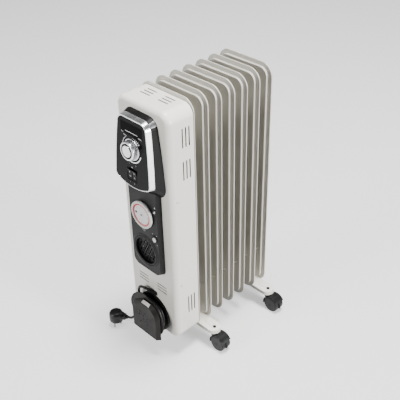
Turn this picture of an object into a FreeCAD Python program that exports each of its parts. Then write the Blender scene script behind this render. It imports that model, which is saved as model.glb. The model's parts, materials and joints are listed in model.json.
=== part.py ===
import FreeCAD, Part

import math
import os
import re

import Sketcher

V = FreeCAD.Vector
Rotation = FreeCAD.Rotation
Placement = FreeCAD.Placement

# Oil filled radiator heater with seven fins, on four twin-wheel castors.
# Millimetres. +Z is up, the controls face -Y, and the floor is Z = 0 under the middle of the fins and
# the control housing together.

DRIVING = {
    # oil fins
    "fin_pitch": 38.5,
    "fin_width": 157.0,
    "fin_height": 602.0,
    "fin_depth": 15.0,
    "fin_corner": 30.0,
    "fin_base": 45.5,
    "fin_seam": 10.0,
    "seam_depth": 3.0,
    "fin_rim": 4.5,
    "dish_depth": 7.0,
    "rib_depth": 11.0,
    "dish_inset": 97.0,
    "dish_corner": 22.0,
    "header_inset": 71.5,
    "collar_radius": 30.0,
    "header_bore": 18.0,
    "first_fin": -64.5,
    # control housing
    "housing_width": 157.0,
    "housing_bottom": 50.0,
    "housing_top": 640.0,
    "housing_front": -135.3,
    "housing_rear": -67.4,
    "housing_corner": 25.0,
    "housing_edge": 12.0,
    "sheet": 1.2,
    # upper console, on a frame that leans back
    "console_lean": 3.6,
    "console_height": 545.0,
    "console_face": -164.7,
    "console_top": 68.0,
    "console_low": -69.0,
    "console_belly": 13.0,
    "console_half_top": 42.0,
    "console_half_low": 52.0,
    "face_depth": 3.0,
    "band_depth": 12.0,
    "knob_radius": 20.5,
    "knob_depth": 13.54,
    "knob_rise": 4.0,
    "rocker_drop": 54.0,
    # lower fascia
    "fascia_front": -148.0,
    "fascia_half": 47.5,
    "fascia_draft": 3.0,
    "fascia_bottom": 228.0,
    "timer_height": 383.0,
    "timer_radius": 32.3,
    "grille_height": 284.0,
    "grille_radius": 37.0,
    # cord winder
    "winder_height": 97.0,
    "flange_radius": 51.5,
    "drum_radius": 20.0,
    "coil_radius": 47.8,
    "winder_half": 42.0,
    # cord
    "cord_diameter": 6.4,
    # feet and castors
    "foot_top": 54.5,
    "foot_length": 244.0,
    "foot_width": 34.0,
    "foot_sheet": 2.0,
    "foot_lip": 8.0,
    "castor_reach": 108.0,
    "castor_trail": 20.0,
    "wheel_radius": 20.5,
    "wheel_width": 11.0,
    "axle_radius": 3.0,
    "stem_radius": 4.0,
    # small pieces
    "rod_radius": 3.0,
    "running_gap": 0.05,
    "seat_gap": 0.3,
}
FIN_COUNT = 7

document = FreeCAD.newDocument("OilRadiator")
sheet = document.addObject("Spreadsheet::Sheet", "Sizes")
for row, (alias, number) in enumerate(DRIVING.items(), start=1):
    sheet.set(f"A{row}", alias)
    sheet.set(f"B{row}", str(number))
    sheet.setAlias(f"B{row}", alias)
document.recompute()


class Size:
    """The driving dimensions, read back from the sheet by name."""

    def __getattr__(self, alias):
        return float(sheet.get(alias))


size = Size()
CELL = re.compile(r"\b(" + "|".join(sorted(DRIVING, key=len, reverse=True)) + r")\b")
nodes = []


def bind(thing, **cells):
    """Tie properties of an object to expressions in the sheet's aliases."""
    for name, text in cells.items():
        thing.setExpression(name, CELL.sub(r"Sizes.\1", text))
    return thing


def node(thing, label, place=None):
    """Name a finished sub-part, which is then written to its own file."""
    thing.Label = label
    if place is not None:
        thing.Placement = place
    nodes.append(thing)
    return thing


# ---------------------------------------------------------------- sketching


def rectangle(sketch, left, low, width, height):
    """A rectangle whose width and height are expressions in the sheet's aliases."""
    first = sketch.GeometryCount
    corners = [V(left, low, 0), V(left + 9, low, 0), V(left + 9, low + 9, 0), V(left, low + 9, 0)]
    for start, end in zip(corners, corners[1:] + corners[:1]):
        sketch.addGeometry(Part.LineSegment(start, end), False)
    for side in range(4):
        sketch.addConstraint(Sketcher.Constraint("Coincident", first + side, 2, first + (side + 1) % 4, 1))
    sketch.addConstraint(Sketcher.Constraint("Horizontal", first))
    sketch.addConstraint(Sketcher.Constraint("Horizontal", first + 2))
    sketch.addConstraint(Sketcher.Constraint("Vertical", first + 1))
    sketch.addConstraint(Sketcher.Constraint("Vertical", first + 3))
    for kind, line, text in (("DistanceX", first, width), ("DistanceY", first + 1, height)):
        rank = sketch.addConstraint(Sketcher.Constraint(kind, line, 1, line, 2, 9.0))
        sketch.setExpression(f"Constraints[{rank}]", CELL.sub(r"Sizes.\1", text))
    sketch.addConstraint(Sketcher.Constraint("DistanceX", -1, 1, first, 1, left))
    sketch.addConstraint(Sketcher.Constraint("DistanceY", -1, 1, first, 1, low))


def circle(sketch, across, up, radius):
    """A circle at a fixed centre, whose radius is an expression in the sheet's aliases."""
    rank = sketch.addGeometry(Part.Circle(V(across, up, 0), V(0, 0, 1), 5.0), False)
    limit = sketch.addConstraint(Sketcher.Constraint("Radius", rank, 5.0))
    sketch.setExpression(f"Constraints[{limit}]", CELL.sub(r"Sizes.\1", radius))
    sketch.addConstraint(Sketcher.Constraint("DistanceX", -1, 1, rank, 3, across))
    sketch.addConstraint(Sketcher.Constraint("DistanceY", -1, 1, rank, 3, up))


def outline(sketch, corners):
    """A closed outline of straight sides. Each corner is (across, up, rounding radius)."""
    count = len(corners)
    points = [V(across, up, 0) for across, up, _ in corners]
    pieces = []
    for rank, (_, _, radius) in enumerate(corners):
        before = (points[rank - 1] - points[rank]).normalize()
        after = (points[(rank + 1) % count] - points[rank]).normalize()
        half = before.getAngle(after) / 2
        reach = radius / math.tan(half)
        start, end = points[rank] + before * reach, points[rank] + after * reach
        middle = points[rank] + (before + after).normalize() * (radius / math.sin(half) - radius)
        pieces.append((start, middle, end, radius))
    for rank, (start, middle, end, radius) in enumerate(pieces):
        if radius > 0:
            sketch.addGeometry(Part.Arc(start, middle, end), False)
        sketch.addGeometry(Part.LineSegment(end, pieces[(rank + 1) % count][0]), False)


def rounded(sketch, left, low, width, height, radius):
    """A rectangle with rounded corners."""
    right, top = left + width, low + height
    outline(sketch, [(left, low, radius), (right, low, radius), (right, top, radius), (left, top, radius)])


class Piece:
    """A PartDesign body, sketched on its own origin planes.

    On the plane XZ a sketch is seen from the front, and a pad grows forwards, towards -Y.
    """

    def __init__(self, label, place=None):
        self.body = document.addObject("PartDesign::Body", label)
        self.label = label
        if place is not None:
            self.body.Placement = place

    def sketch(self, plane="XZ", lift=0.0):
        """A new sketch on an origin plane, lifted along the plane's normal."""
        name = f"{plane}_Plane"
        support = next(item for item in self.body.Origin.OriginFeatures if item.Role == name)
        made = self.body.newObject("Sketcher::SketchObject", f"{self.label}_sketch")
        made.AttachmentSupport = [(support, "")]
        made.MapMode = "FlatFace"
        made.AttachmentOffset = Placement(V(0, 0, lift), Rotation())
        return made

    def feature(self, kind, sketch, length=None, **settings):
        made = self.body.newObject(f"PartDesign::{kind}", f"{self.label}_{kind.lower()}")
        made.Profile = sketch
        for name, setting in settings.items():
            setattr(made, name, setting)
        if length is not None:
            bind(made, Length=length)
        document.recompute()
        return made

    def pad(self, sketch, length, **settings):
        return self.feature("Pad", sketch, length, **settings)

    def pocket(self, sketch, length=None, **settings):
        if length is None:
            settings.setdefault("Type", "ThroughAll")
        return self.feature("Pocket", sketch, length, **settings)

    def revolve(self, sketch, axis="V_Axis", kind="Revolution", **settings):
        made = self.body.newObject(f"PartDesign::{kind}", f"{self.label}_{kind.lower()}")
        made.Profile = sketch
        made.ReferenceAxis = (sketch, [axis])
        made.Angle = 360.0
        for name, setting in settings.items():
            setattr(made, name, setting)
        document.recompute()
        return made

    def loft(self, first, *others):
        made = self.body.newObject("PartDesign::AdditiveLoft", f"{self.label}_loft")
        made.Profile = first
        made.Sections = list(others)
        made.Ruled = True
        document.recompute()
        return made

    def soften(self, radius, wanted, kind="Fillet"):
        """Round or bevel the edges of the tip that the test picks out."""
        tip = self.body.Tip
        names = [f"Edge{rank}" for rank, edge in enumerate(tip.Shape.Edges, start=1) if wanted(edge)]
        made = self.body.newObject(f"PartDesign::{kind}", f"{self.label}_{kind.lower()}")
        made.Base = (tip, names)
        bind(made, **{"Radius" if kind == "Fillet" else "Size": radius})
        document.recompute()
        return made

    def done(self):
        return node(self.body, self.label)


def along(axis):
    """A test for straight edges that run along a local axis."""
    def test(edge):
        if not isinstance(edge.Curve, Part.Line):
            return False
        return abs(abs(edge.Curve.Direction.dot(axis)) - 1) < 1e-6
    return test


def on_level(axis, level):
    """A test for edges that lie wholly in a plane across a local axis."""
    def test(edge):
        return all(abs(point.dot(axis) - level) < 1e-4 for point in edge.discretize(4))
    return test


def group(label, members):
    """Identical pieces that share one node, as separate solids."""
    made = document.addObject("Part::Compound", f"{label}_group")
    made.Links = members
    document.recompute()
    return node(made, label)


def solid(label, shape, place=None):
    """A sub-part whose shape is worked out with Part's own functions."""
    made = document.addObject("Part::Feature", f"{label}_shape")
    made.Shape = shape
    return node(made, label, place or Placement())


def cylinder(name, base, axis, radius, length):
    """A Part cylinder from a base point along an axis, with its sizes bound to the sheet."""
    made = document.addObject("Part::Cylinder", name)
    bind(made, Radius=radius, Height=length)
    made.Placement = Placement(base, Rotation(V(0, 0, 1), axis))
    return made


def box(name, corner, width, depth, height):
    """A Part box from its lowest corner, with its sizes bound to the sheet."""
    made = document.addObject("Part::Box", name)
    bind(made, Length=width, Width=depth, Height=height)
    made.Placement = Placement(corner, Rotation())
    return made


def fuse(name, members):
    made = document.addObject("Part::MultiFuse", name)
    made.Shapes = members
    made.Refine = True
    return made


def cut(name, base, tool):
    made = document.addObject("Part::Cut", name)
    made.Base = base
    made.Tool = tool
    return made


# ---------------------------------------------------------------- places

FORWARD = V(0, -1, 0)
RIGHT = V(1, 0, 0)
UP = V(0, 0, 1)
LOW_HEADER = size.fin_base + size.header_inset
HIGH_HEADER = size.fin_base + size.fin_height - size.header_inset
LAST_FIN = size.first_fin + (FIN_COUNT - 1) * size.fin_pitch
FRONT_FOOT = size.first_fin + size.fin_pitch / 2
REAR_FOOT = LAST_FIN - size.fin_pitch / 2
LEAN = Rotation(RIGHT, -size.console_lean)


def console(across=0.0, ahead=0.0, up=0.0):
    """A place on the console's leaning frame. Ahead is out of the front of its face."""
    middle = V(0, size.console_face, size.console_height)
    return middle + LEAN.multVec(V(across, -ahead, up))


# ---------------------------------------------------------------- oil fins


def fin(rank):
    """One pressed fin: a thin welded seam all round, an oil body, and the two bores of the headers.

    The body is full depth over the two headers, and dished between them, with three oil ways up it.
    """
    place = Placement(V(0, size.first_fin + rank * size.fin_pitch, size.fin_base), Rotation())
    piece = Piece(f"fin_{rank + 1}", place)
    half, tall, seam = size.fin_width / 2, size.fin_height, size.fin_seam
    seam_plate = piece.sketch()
    rectangle(seam_plate, -half, 0.0, "fin_width", "fin_height")
    piece.pad(seam_plate, "seam_depth", Midplane=True)
    piece.soften("fin_corner", along(V(0, 1, 0)))
    body = piece.sketch()
    rounded(body, seam - half, seam, 2 * (half - seam), tall - 2 * seam, size.fin_corner - seam)
    piece.pad(body, "fin_depth", Midplane=True)
    edge, low = seam + size.fin_rim, size.dish_inset
    for side in (1, -1):
        dish = piece.sketch(lift=side * size.fin_depth / 2)
        rounded(dish, edge - half, low, 2 * (half - edge), tall - 2 * low, size.dish_corner)
        piece.pocket(dish, "(fin_depth - dish_depth) / 2", Reversed=side < 0)
    ways = piece.sketch()
    for across in (-30.0, 0.0, 30.0):
        rounded(ways, across - 8.0, low - 12.0, 16.0, tall - 2 * low + 24.0, 7.9)
    piece.pad(ways, "rib_depth", Midplane=True)
    headers = (size.header_inset, tall - size.header_inset)
    bores = piece.sketch()
    for height in headers:
        circle(bores, 0.0, height, "header_bore")
    piece.pocket(bores, Midplane=True)
    return piece.done()


def header_collars():
    """The short tubes that join the fins into an upper and a lower header."""
    gap = size.fin_pitch - size.fin_depth
    tubes = []
    for rank in range(FIN_COUNT - 1):
        start = size.first_fin + rank * size.fin_pitch + size.fin_depth / 2
        for name, height in (("low", LOW_HEADER), ("high", HIGH_HEADER)):
            base = V(0, start, height)
            wall = cylinder(f"collar_{name}_{rank + 1}_wall", base, FORWARD * -1, "collar_radius", "fin_pitch - fin_depth")
            bore = cylinder(f"collar_{name}_{rank + 1}_bore", base + V(0, -1, 0), FORWARD * -1, "header_bore", str(gap + 2))
            tubes.append(cut(f"collar_{name}_{rank + 1}", wall, bore))
    group("header_collars", tubes)


def heating_element():
    """A sheathed hairpin heater in the oil of the lower header, and the flange its ends are brazed into."""
    piece = Piece("element_hairpin", Placement(V(0, 0, LOW_HEADER), Rotation()))
    start, bend, spread = -98.0, 140.0, 9.0
    spine = piece.sketch("YZ")
    spine.addGeometry(Part.LineSegment(V(start, spread, 0), V(bend, spread, 0)), False)
    spine.addGeometry(Part.Arc(V(bend, spread, 0), V(bend + spread, 0, 0), V(bend, -spread, 0)), False)
    spine.addGeometry(Part.LineSegment(V(bend, -spread, 0), V(start, -spread, 0)), False)
    profile = piece.sketch("XZ", lift=-start)
    circle(profile, 0.0, spread, "4.1")
    document.recompute()
    pipe = piece.body.newObject("PartDesign::AdditivePipe", "element_hairpin_pipe")
    pipe.Profile = profile
    pipe.Spine = (spine, ["Edge1", "Edge2", "Edge3"])
    document.recompute()

    front = size.first_fin - size.fin_depth / 2
    flange = Piece("element_flange", Placement(V(0, front, LOW_HEADER), Rotation()))
    disc = flange.sketch()
    circle(disc, 0.0, 0.0, "27")
    for height in (9.0, -9.0):
        circle(disc, 0.0, height, "4.4")
    flange.pad(disc, "8")
    flange.soften("1.5", on_level(V(0, 1, 0), -8.0), kind="Chamfer")
    group("heating_element", [piece.body, flange.body])


def header_plug(name, height, level, outwards):
    """A hexagon plug that closes one end of a header."""
    stub = cylinder(f"{name}_stub", V(0, level, height), outwards * -1, "header_bore - seat_gap", "10")
    head = document.addObject("Part::Prism", f"{name}_head")
    head.Polygon = 6
    bind(head, Circumradius="header_bore + 5", Height="5.5")
    head.Placement = Placement(V(0, level, height), Rotation(V(0, 0, 1), outwards))
    return fuse(name, [stub, head])


def header_plugs():
    front = size.first_fin - size.fin_depth / 2
    rear = LAST_FIN + size.fin_depth / 2
    group("header_plugs", [
        header_plug("front_high_plug", HIGH_HEADER, front, FORWARD),
        header_plug("rear_high_plug", HIGH_HEADER, rear, FORWARD * -1),
        header_plug("rear_low_plug", LOW_HEADER, rear, FORWARD * -1),
    ])


# ---------------------------------------------------------------- control housing


SCREW_HEIGHTS = (434.5, 210.0)
SCREW_DEPTH = -117.6


def housing_shell():
    """The folded steel cover round the controls, open towards the fins."""
    piece = Piece("housing_shell", Placement(V(0, size.housing_rear, 0), Rotation()))
    half = size.housing_width / 2
    deep = size.housing_rear - size.housing_front
    blank = piece.sketch()
    rectangle(blank, -half, size.housing_bottom, "housing_width", "housing_top - housing_bottom")
    piece.pad(blank, "housing_rear - housing_front")
    piece.soften("housing_corner", along(V(0, 1, 0)))
    piece.soften("housing_edge", on_level(V(0, 1, 0), -deep))
    tip = piece.body.Tip
    rear = [f"Face{rank}" for rank, face in enumerate(tip.Shape.Faces, start=1)
            if abs(face.CenterOfMass.y) < 1e-4 and isinstance(face.Surface, Part.Plane)]
    hollow = piece.body.newObject("PartDesign::Thickness", "housing_shell_hollow")
    hollow.Base = (tip, rear)
    hollow.Reversed = True
    bind(hollow, Value="sheet")
    document.recompute()
    # one long window behind the console and the fascia, for the controls that reach inside
    window = piece.sketch(lift=deep)
    rounded(window, -40.0, 243.0, 80.0, 350.0, 6.0)
    piece.pocket(window, "5")
    # the cord's way out, above the winder
    way_out = piece.sketch(lift=deep)
    circle(way_out, 7.0, 155.0, "6.5")
    piece.pocket(way_out, "5")
    # vents: two groups of three in the top, three groups of three in each side, two groups in front
    top = [(left, low) for left in (-42.0, 12.0) for low in (-100.5, -90.8, -81.1)]
    lid = piece.sketch("XY", lift=size.housing_top)
    for left, low in top:
        rounded(lid, left, low - size.housing_rear, 30.0, 3.4, 1.6)
    piece.pocket(lid, "5")
    flank = piece.sketch("YZ", lift=-half)
    for low, tall in ((554.0, 45.0), (479.0, 45.0), (116.0, 50.0)):
        for depth in (-98.0, -88.9, -79.8):
            rounded(flank, depth - 1.6 - size.housing_rear, low, 3.2, tall, 1.5)
    for height in SCREW_HEIGHTS:
        circle(flank, SCREW_DEPTH - size.housing_rear, height, "1.9")
    piece.pocket(flank, Reversed=True)
    front = piece.sketch(lift=deep)
    for left in (-47.0, 15.0):
        for low in (173.0, 181.5, 190.0):
            rounded(front, left, low, 32.0, 3.0, 1.4)
    piece.pocket(front, "5")
    return piece.done()


def back_plate():
    """The steel plate between the controls and the hot fins, with ways through for the header ends."""
    piece = Piece("housing_back_plate", Placement(V(0, size.first_fin - size.fin_depth / 2 - 1.0, 0), Rotation()))
    inset = size.sheet + 0.4
    half = size.housing_width / 2 - inset
    blank = piece.sketch()
    rounded(blank, -half, size.housing_bottom + inset, 2 * half,
            size.housing_top - size.housing_bottom - 2 * inset, size.housing_corner - inset)
    piece.pad(blank, "sheet")
    ways = piece.sketch(lift=5.0)
    circle(ways, 0.0, LOW_HEADER, "29")
    circle(ways, 0.0, HIGH_HEADER, "27")
    piece.pocket(ways, Midplane=True)
    return piece.done()


def screw(name, place, outwards, thread):
    """A pan-head screw. The place is the middle of its seat."""
    head = document.addObject("Part::Cylinder", f"{name}_head")
    bind(head, Radius="3.4", Height="1.8")
    head.Placement = Placement(place, Rotation(UP, outwards))
    shank = cylinder(f"{name}_shank", place, outwards * -1, "1.7", thread)
    return fuse(name, [head, shank])


def housing_screws():
    """The screws that hold the cover to the back plate's tabs, one in each side."""
    half = size.housing_width / 2
    members = []
    for side, way in (("left", -1), ("right", 1)):
        for height in SCREW_HEIGHTS:
            place = V(way * half, SCREW_DEPTH, height)
            members.append(screw(f"{side}_cover_screw_{int(height)}", place, V(way, 0, 0), "8"))
    return members


# ---------------------------------------------------------------- console


def console_outline(sketch, grow, drop=0.0, heel=7.0):
    """The console's front outline, grown outwards: a bowed tombstone, wider below, with a round belly.

    The drop lowers its belly, and the heel is how far its two lower corners are rounded.
    """
    top = size.console_top + grow * 1.4
    low = size.console_low - grow * 0.6 - drop
    wide_top, wide_low = size.console_half_top + grow, size.console_half_low + grow
    corner = 15.0 + grow * 1.2
    belly = low - size.console_belly
    shoulder = top - corner
    middle = (shoulder + low + heel) / 2
    bend = corner * (1 - math.sqrt(0.5))
    heel_side = V(wide_low - 0.3, low + heel, 0)
    heel_foot = V(wide_low - heel, low - size.console_belly * heel / wide_low * 1.9, 0)
    heel_turn = V(wide_low - heel * 0.24, low + heel * 0.12, 0)
    side_middle = V((wide_top + wide_low) / 2 + 1.2, middle, 0)
    side_top, lid_end = V(wide_top, shoulder, 0), V(wide_top - corner, top, 0)
    turn = V(wide_top - bend, top - bend, 0)

    def mirrored(point):
        return V(-point.x, point.y, 0)

    sketch.addGeometry(Part.Arc(heel_side, side_middle, side_top), False)
    sketch.addGeometry(Part.Arc(side_top, turn, lid_end), False)
    sketch.addGeometry(Part.LineSegment(lid_end, mirrored(lid_end)), False)
    sketch.addGeometry(Part.Arc(mirrored(lid_end), mirrored(turn), mirrored(side_top)), False)
    sketch.addGeometry(Part.Arc(mirrored(side_top), mirrored(side_middle), mirrored(heel_side)), False)
    sketch.addGeometry(Part.Arc(mirrored(heel_side), mirrored(heel_turn), mirrored(heel_foot)), False)
    sketch.addGeometry(Part.Arc(mirrored(heel_foot), V(0, belly, 0), heel_foot), False)
    sketch.addGeometry(Part.Arc(heel_foot, heel_turn, heel_side), False)


def console_place():
    return Placement(console(), LEAN)


ROCKERS = (("left", -7.4), ("right", 7.4))
WINDOW = (-33.0, 34.0, 66.0, 25.0)


def face_plate():
    """The glossy black face, with a lamp window, the knob's hole and the switch's opening."""
    piece = Piece("face_plate", console_place())
    blank = piece.sketch(lift=-size.face_depth)
    console_outline(blank, 0.0)
    piece.pad(blank, "face_depth")
    holes = piece.sketch()
    circle(holes, 0.0, size.knob_rise, "5")
    rounded(holes, -15.5, -size.rocker_drop - 14.5, 31.0, 29.0, 1.5)
    piece.pocket(holes, Midplane=True)
    recess = piece.sketch()
    rounded(recess, *WINDOW, 2.0)
    piece.pocket(recess, "1.2")
    lamp = piece.sketch()
    circle(lamp, 24.0, 46.0, "2.6")
    piece.pocket(lamp, Midplane=True)
    return piece.done()


def window_lens():
    """The smoked lens that fills the recess in the face, over the pilot lamp."""
    piece = Piece("window_lens", console_place())
    gap = 0.15
    left, low, width, height = WINDOW
    pane = piece.sketch(lift=-1.2)
    rounded(pane, left + gap, low + gap, width - 2 * gap, height - 2 * gap, 1.8)
    piece.pad(pane, "1.1")
    return piece.done()


def pilot_lamp():
    """A neon lamp in its holder behind the face."""
    base = console(24.0, -1.4, 46.0)
    back = LEAN.multVec(V(0, 1, 0))
    bulb = cylinder("pilot_bulb", base, back, "2.4", "4")
    holder = cylinder("pilot_holder", base + back * 4.0, back, "4", "9")
    return node(fuse("pilot_lamp_pieces", [bulb, holder]), "pilot_lamp")


def trim_band():
    """The satin silver frame round the face."""
    piece = Piece("trim_band", console_place())
    front = piece.sketch(lift=0.6)
    console_outline(front, 2.6)
    rear = piece.sketch(lift=-size.band_depth)
    console_outline(rear, 4.5)
    piece.loft(front, rear)
    seat = piece.sketch(lift=0.6)
    console_outline(seat, 0.25)
    piece.pocket(seat, "face_depth + 0.8")
    inside = piece.sketch()
    console_outline(inside, -2.5)
    piece.pocket(inside, Midplane=True)
    return piece.done()


CONSOLE_FLARE, CONSOLE_DROP, CONSOLE_HEEL = 14.0, 22.0, 24.0


def console_body():
    """The black base of the console, flaring back to the housing."""
    piece = Piece("console_body", console_place())
    front = piece.sketch(lift=-size.band_depth)
    console_outline(front, 4.3)
    rear = piece.sketch(lift=-size.band_depth - 28.0)
    console_outline(rear, CONSOLE_FLARE, drop=CONSOLE_DROP, heel=CONSOLE_HEEL)
    piece.loft(front, rear)
    cavity = piece.sketch()
    rounded(cavity, -38.0, -72.0, 76.0, 122.0, 6.0)
    piece.pocket(cavity, Midplane=True)
    # trim it to the housing's front, a plane that leans in this frame
    inverse = Placement(console(), LEAN).inverse()
    wedge = [V(0, size.housing_front, height) for height in (380.0, 720.0)]
    wedge += [V(0, size.housing_front + 60.0, height) for height in (720.0, 380.0)]
    local = [inverse.multVec(point) for point in wedge]
    trim = piece.sketch("YZ")
    for start, end in zip(local, local[1:] + local[:1]):
        trim.addGeometry(Part.LineSegment(V(start.y, start.z, 0), V(end.y, end.z, 0)), False)
    piece.pocket(trim, Midplane=True)
    return piece.done()


def thermostat():
    """The thermostat behind the face, its spindle, and the knob with its cap."""
    back = LEAN.multVec(V(0, 1, 0))
    ahead = back * -1
    centre = console(0.0, 0.0, size.knob_rise)
    case = Piece("thermostat_case", Placement(centre, LEAN))
    block = case.sketch(lift=-38.0)
    rounded(block, -18.0, -18.0, 36.0, 36.0, 4.0)
    case.pad(block, "20")
    neck = case.sketch(lift=-18.5)
    circle(neck, 0.0, 0.0, "7")
    case.pad(neck, "10")
    bore = case.sketch()
    circle(bore, 0.0, 0.0, "3.05")
    case.pocket(bore, Midplane=True)
    case.done()

    base = centre + back * 34.0
    node(cylinder("spindle", base, ahead, "3", "34 + knob_depth - 3"), "thermostat_shaft")

    knob = Piece("thermostat_knob", Placement(centre, LEAN))
    shell = knob.sketch(lift=1.0)
    circle(shell, 0.0, 0.0, "knob_radius")
    knob.pad(shell, "knob_depth - 1")
    knob.soften("2.2", on_level(V(0, 1, 0), -size.knob_depth))
    well = knob.sketch(lift=size.knob_depth)
    circle(well, 0.0, 0.0, "14.2")
    knob.pocket(well, "1.6")
    hub = knob.sketch()
    circle(hub, 0.0, 0.0, "3.02")
    knob.pocket(hub, "knob_depth - 3", Reversed=True)
    flutes = knob.sketch(lift=3.0)
    count = 24
    for step in range(count):
        turn = 2 * math.pi * step / count
        reach = size.knob_radius + 0.9
        circle(flutes, reach * math.cos(turn), reach * math.sin(turn), "1.5")
    knob.pocket(flutes, "knob_depth - 7", Reversed=True)
    knob.done()

    cap = Piece("knob_cap", Placement(centre, LEAN))
    disc = cap.sketch(lift=size.knob_depth - 1.6)
    circle(disc, 0.0, 0.0, "12.6")
    cap.pad(disc, "2.4")
    cap.soften("0.8", on_level(V(0, 1, 0), -size.knob_depth - 0.8))
    cap.done()


def switch_case(label, place, half_wide, half_tall, deep):
    """An open-fronted switch case with a thin flange."""
    case = Piece(label, place)
    block = case.sketch(lift=-deep)
    rounded(block, -half_wide, -half_tall, 2 * half_wide, 2 * half_tall, 1.2)
    case.pad(block, str(deep + 0.4))
    well = case.sketch(lift=0.4)
    rounded(well, 1.1 - half_wide, 1.1 - half_tall, 2 * (half_wide - 1.1), 2 * (half_tall - 1.1), 0.6)
    case.pocket(well, str(deep - 1.6))
    return case.done()


def rocker(label, place, half_wide, half_tall, tip):
    """A rocker whose two flats meet in a shallow ridge, at rest with its lower half pressed in."""
    turned = Placement(place.Base, place.Rotation.multiply(Rotation(RIGHT, tip)))
    piece = Piece(label, turned)
    side = piece.sketch("YZ", lift=-half_wide)
    rise = math.tan(math.radians(tip)) * half_tall
    edge = half_tall * 0.97
    points = [V(-1.6 - rise, edge, 0), V(-1.6, 0, 0), V(-1.6 - rise, -edge, 0), V(4.0, -edge * 0.8, 0),
              V(6.5, 0, 0), V(4.0, edge * 0.8, 0)]
    for start, end in zip(points, points[1:] + points[:1]):
        side.addGeometry(Part.LineSegment(start, end), False)
    piece.pad(side, str(2 * half_wide))
    return piece.done()


ROCKER_TIP = 8.0


def power_switch():
    """A double rocker switch in one case, below the knob."""
    centre = console(0.0, -1.0, -size.rocker_drop)
    switch_case("power_switch_case", Placement(centre, LEAN), 15.0, 14.0, 16.0)
    for side, across in ROCKERS:
        place = console(across * 0.92, -1.8, -size.rocker_drop)
        rocker(f"power_rocker_{side}", Placement(place, LEAN), 6.2, 11.6, ROCKER_TIP)


# ---------------------------------------------------------------- fascia


def fascia_outline(sketch, inset):
    """The fascia from the front: straight sides, round lower corners, and a hollow top under the console."""
    half, low = size.fascia_half - inset, size.fascia_bottom + inset
    corner = 17.0
    top, sag = 478.0, 4.0
    bend = corner * (1 - math.sqrt(0.5))
    sketch.addGeometry(Part.LineSegment(V(half, low + corner, 0), V(half, top, 0)), False)
    sketch.addGeometry(Part.Arc(V(half, top, 0), V(0, top - sag, 0), V(-half, top, 0)), False)
    sketch.addGeometry(Part.LineSegment(V(-half, top, 0), V(-half, low + corner, 0)), False)
    sketch.addGeometry(Part.Arc(V(-half, low + corner, 0), V(bend - half, low + bend, 0), V(corner - half, low, 0)), False)
    sketch.addGeometry(Part.LineSegment(V(corner - half, low, 0), V(half - corner, low, 0)), False)
    sketch.addGeometry(Part.Arc(V(half - corner, low, 0), V(half - bend, low + bend, 0), V(half, low + corner, 0)), False)


FAN_SWITCH = (33.0, 331.0)
OVERRIDE = (39.0, 408.0)


def fascia():
    """The dark moulding that carries the timer, the fan switch and the fan's grille, up to the console."""
    deep = size.housing_front - size.fascia_front
    clearance = Piece("console_clearance", console_place())
    ahead = clearance.sketch(lift=-size.band_depth + 6.0)
    console_outline(ahead, 4.3 - 14.0 * 6.0 / 28.0 + size.seat_gap)
    behind = clearance.sketch(lift=-size.band_depth - 28.0)
    console_outline(behind, CONSOLE_FLARE + size.seat_gap, drop=CONSOLE_DROP, heel=CONSOLE_HEEL)
    clearance.loft(ahead, behind)
    piece = Piece("fascia_moulding", Placement(V(0, size.housing_front, 0), Rotation()))
    base = piece.sketch()
    fascia_outline(base, 0.0)
    face = piece.sketch(lift=deep)
    fascia_outline(face, size.fascia_draft)
    piece.loft(base, face)
    hollow = piece.sketch()
    margin = size.fascia_draft + 2.5
    rounded(hollow, margin - size.fascia_half, size.fascia_bottom + margin,
            2 * (size.fascia_half - margin), 203.0, 12.0)
    piece.pocket(hollow, "housing_front - fascia_front - 2.4", Reversed=True)
    ways = piece.sketch()
    circle(ways, 0.0, size.timer_height, "timer_radius - 2.3")
    circle(ways, 0.0, size.grille_height, "grille_radius - 3")
    rounded(ways, FAN_SWITCH[0] - 7.2, FAN_SWITCH[1] - 7.2, 14.4, 14.4, 6.9)
    rounded(ways, OVERRIDE[0] - 1.5, OVERRIDE[1] - 5.0, 3.0, 10.0, 1.4)
    piece.pocket(ways, Reversed=True)
    node(cut("fascia_trimmed", piece.body, clearance.body), "fascia")


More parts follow.
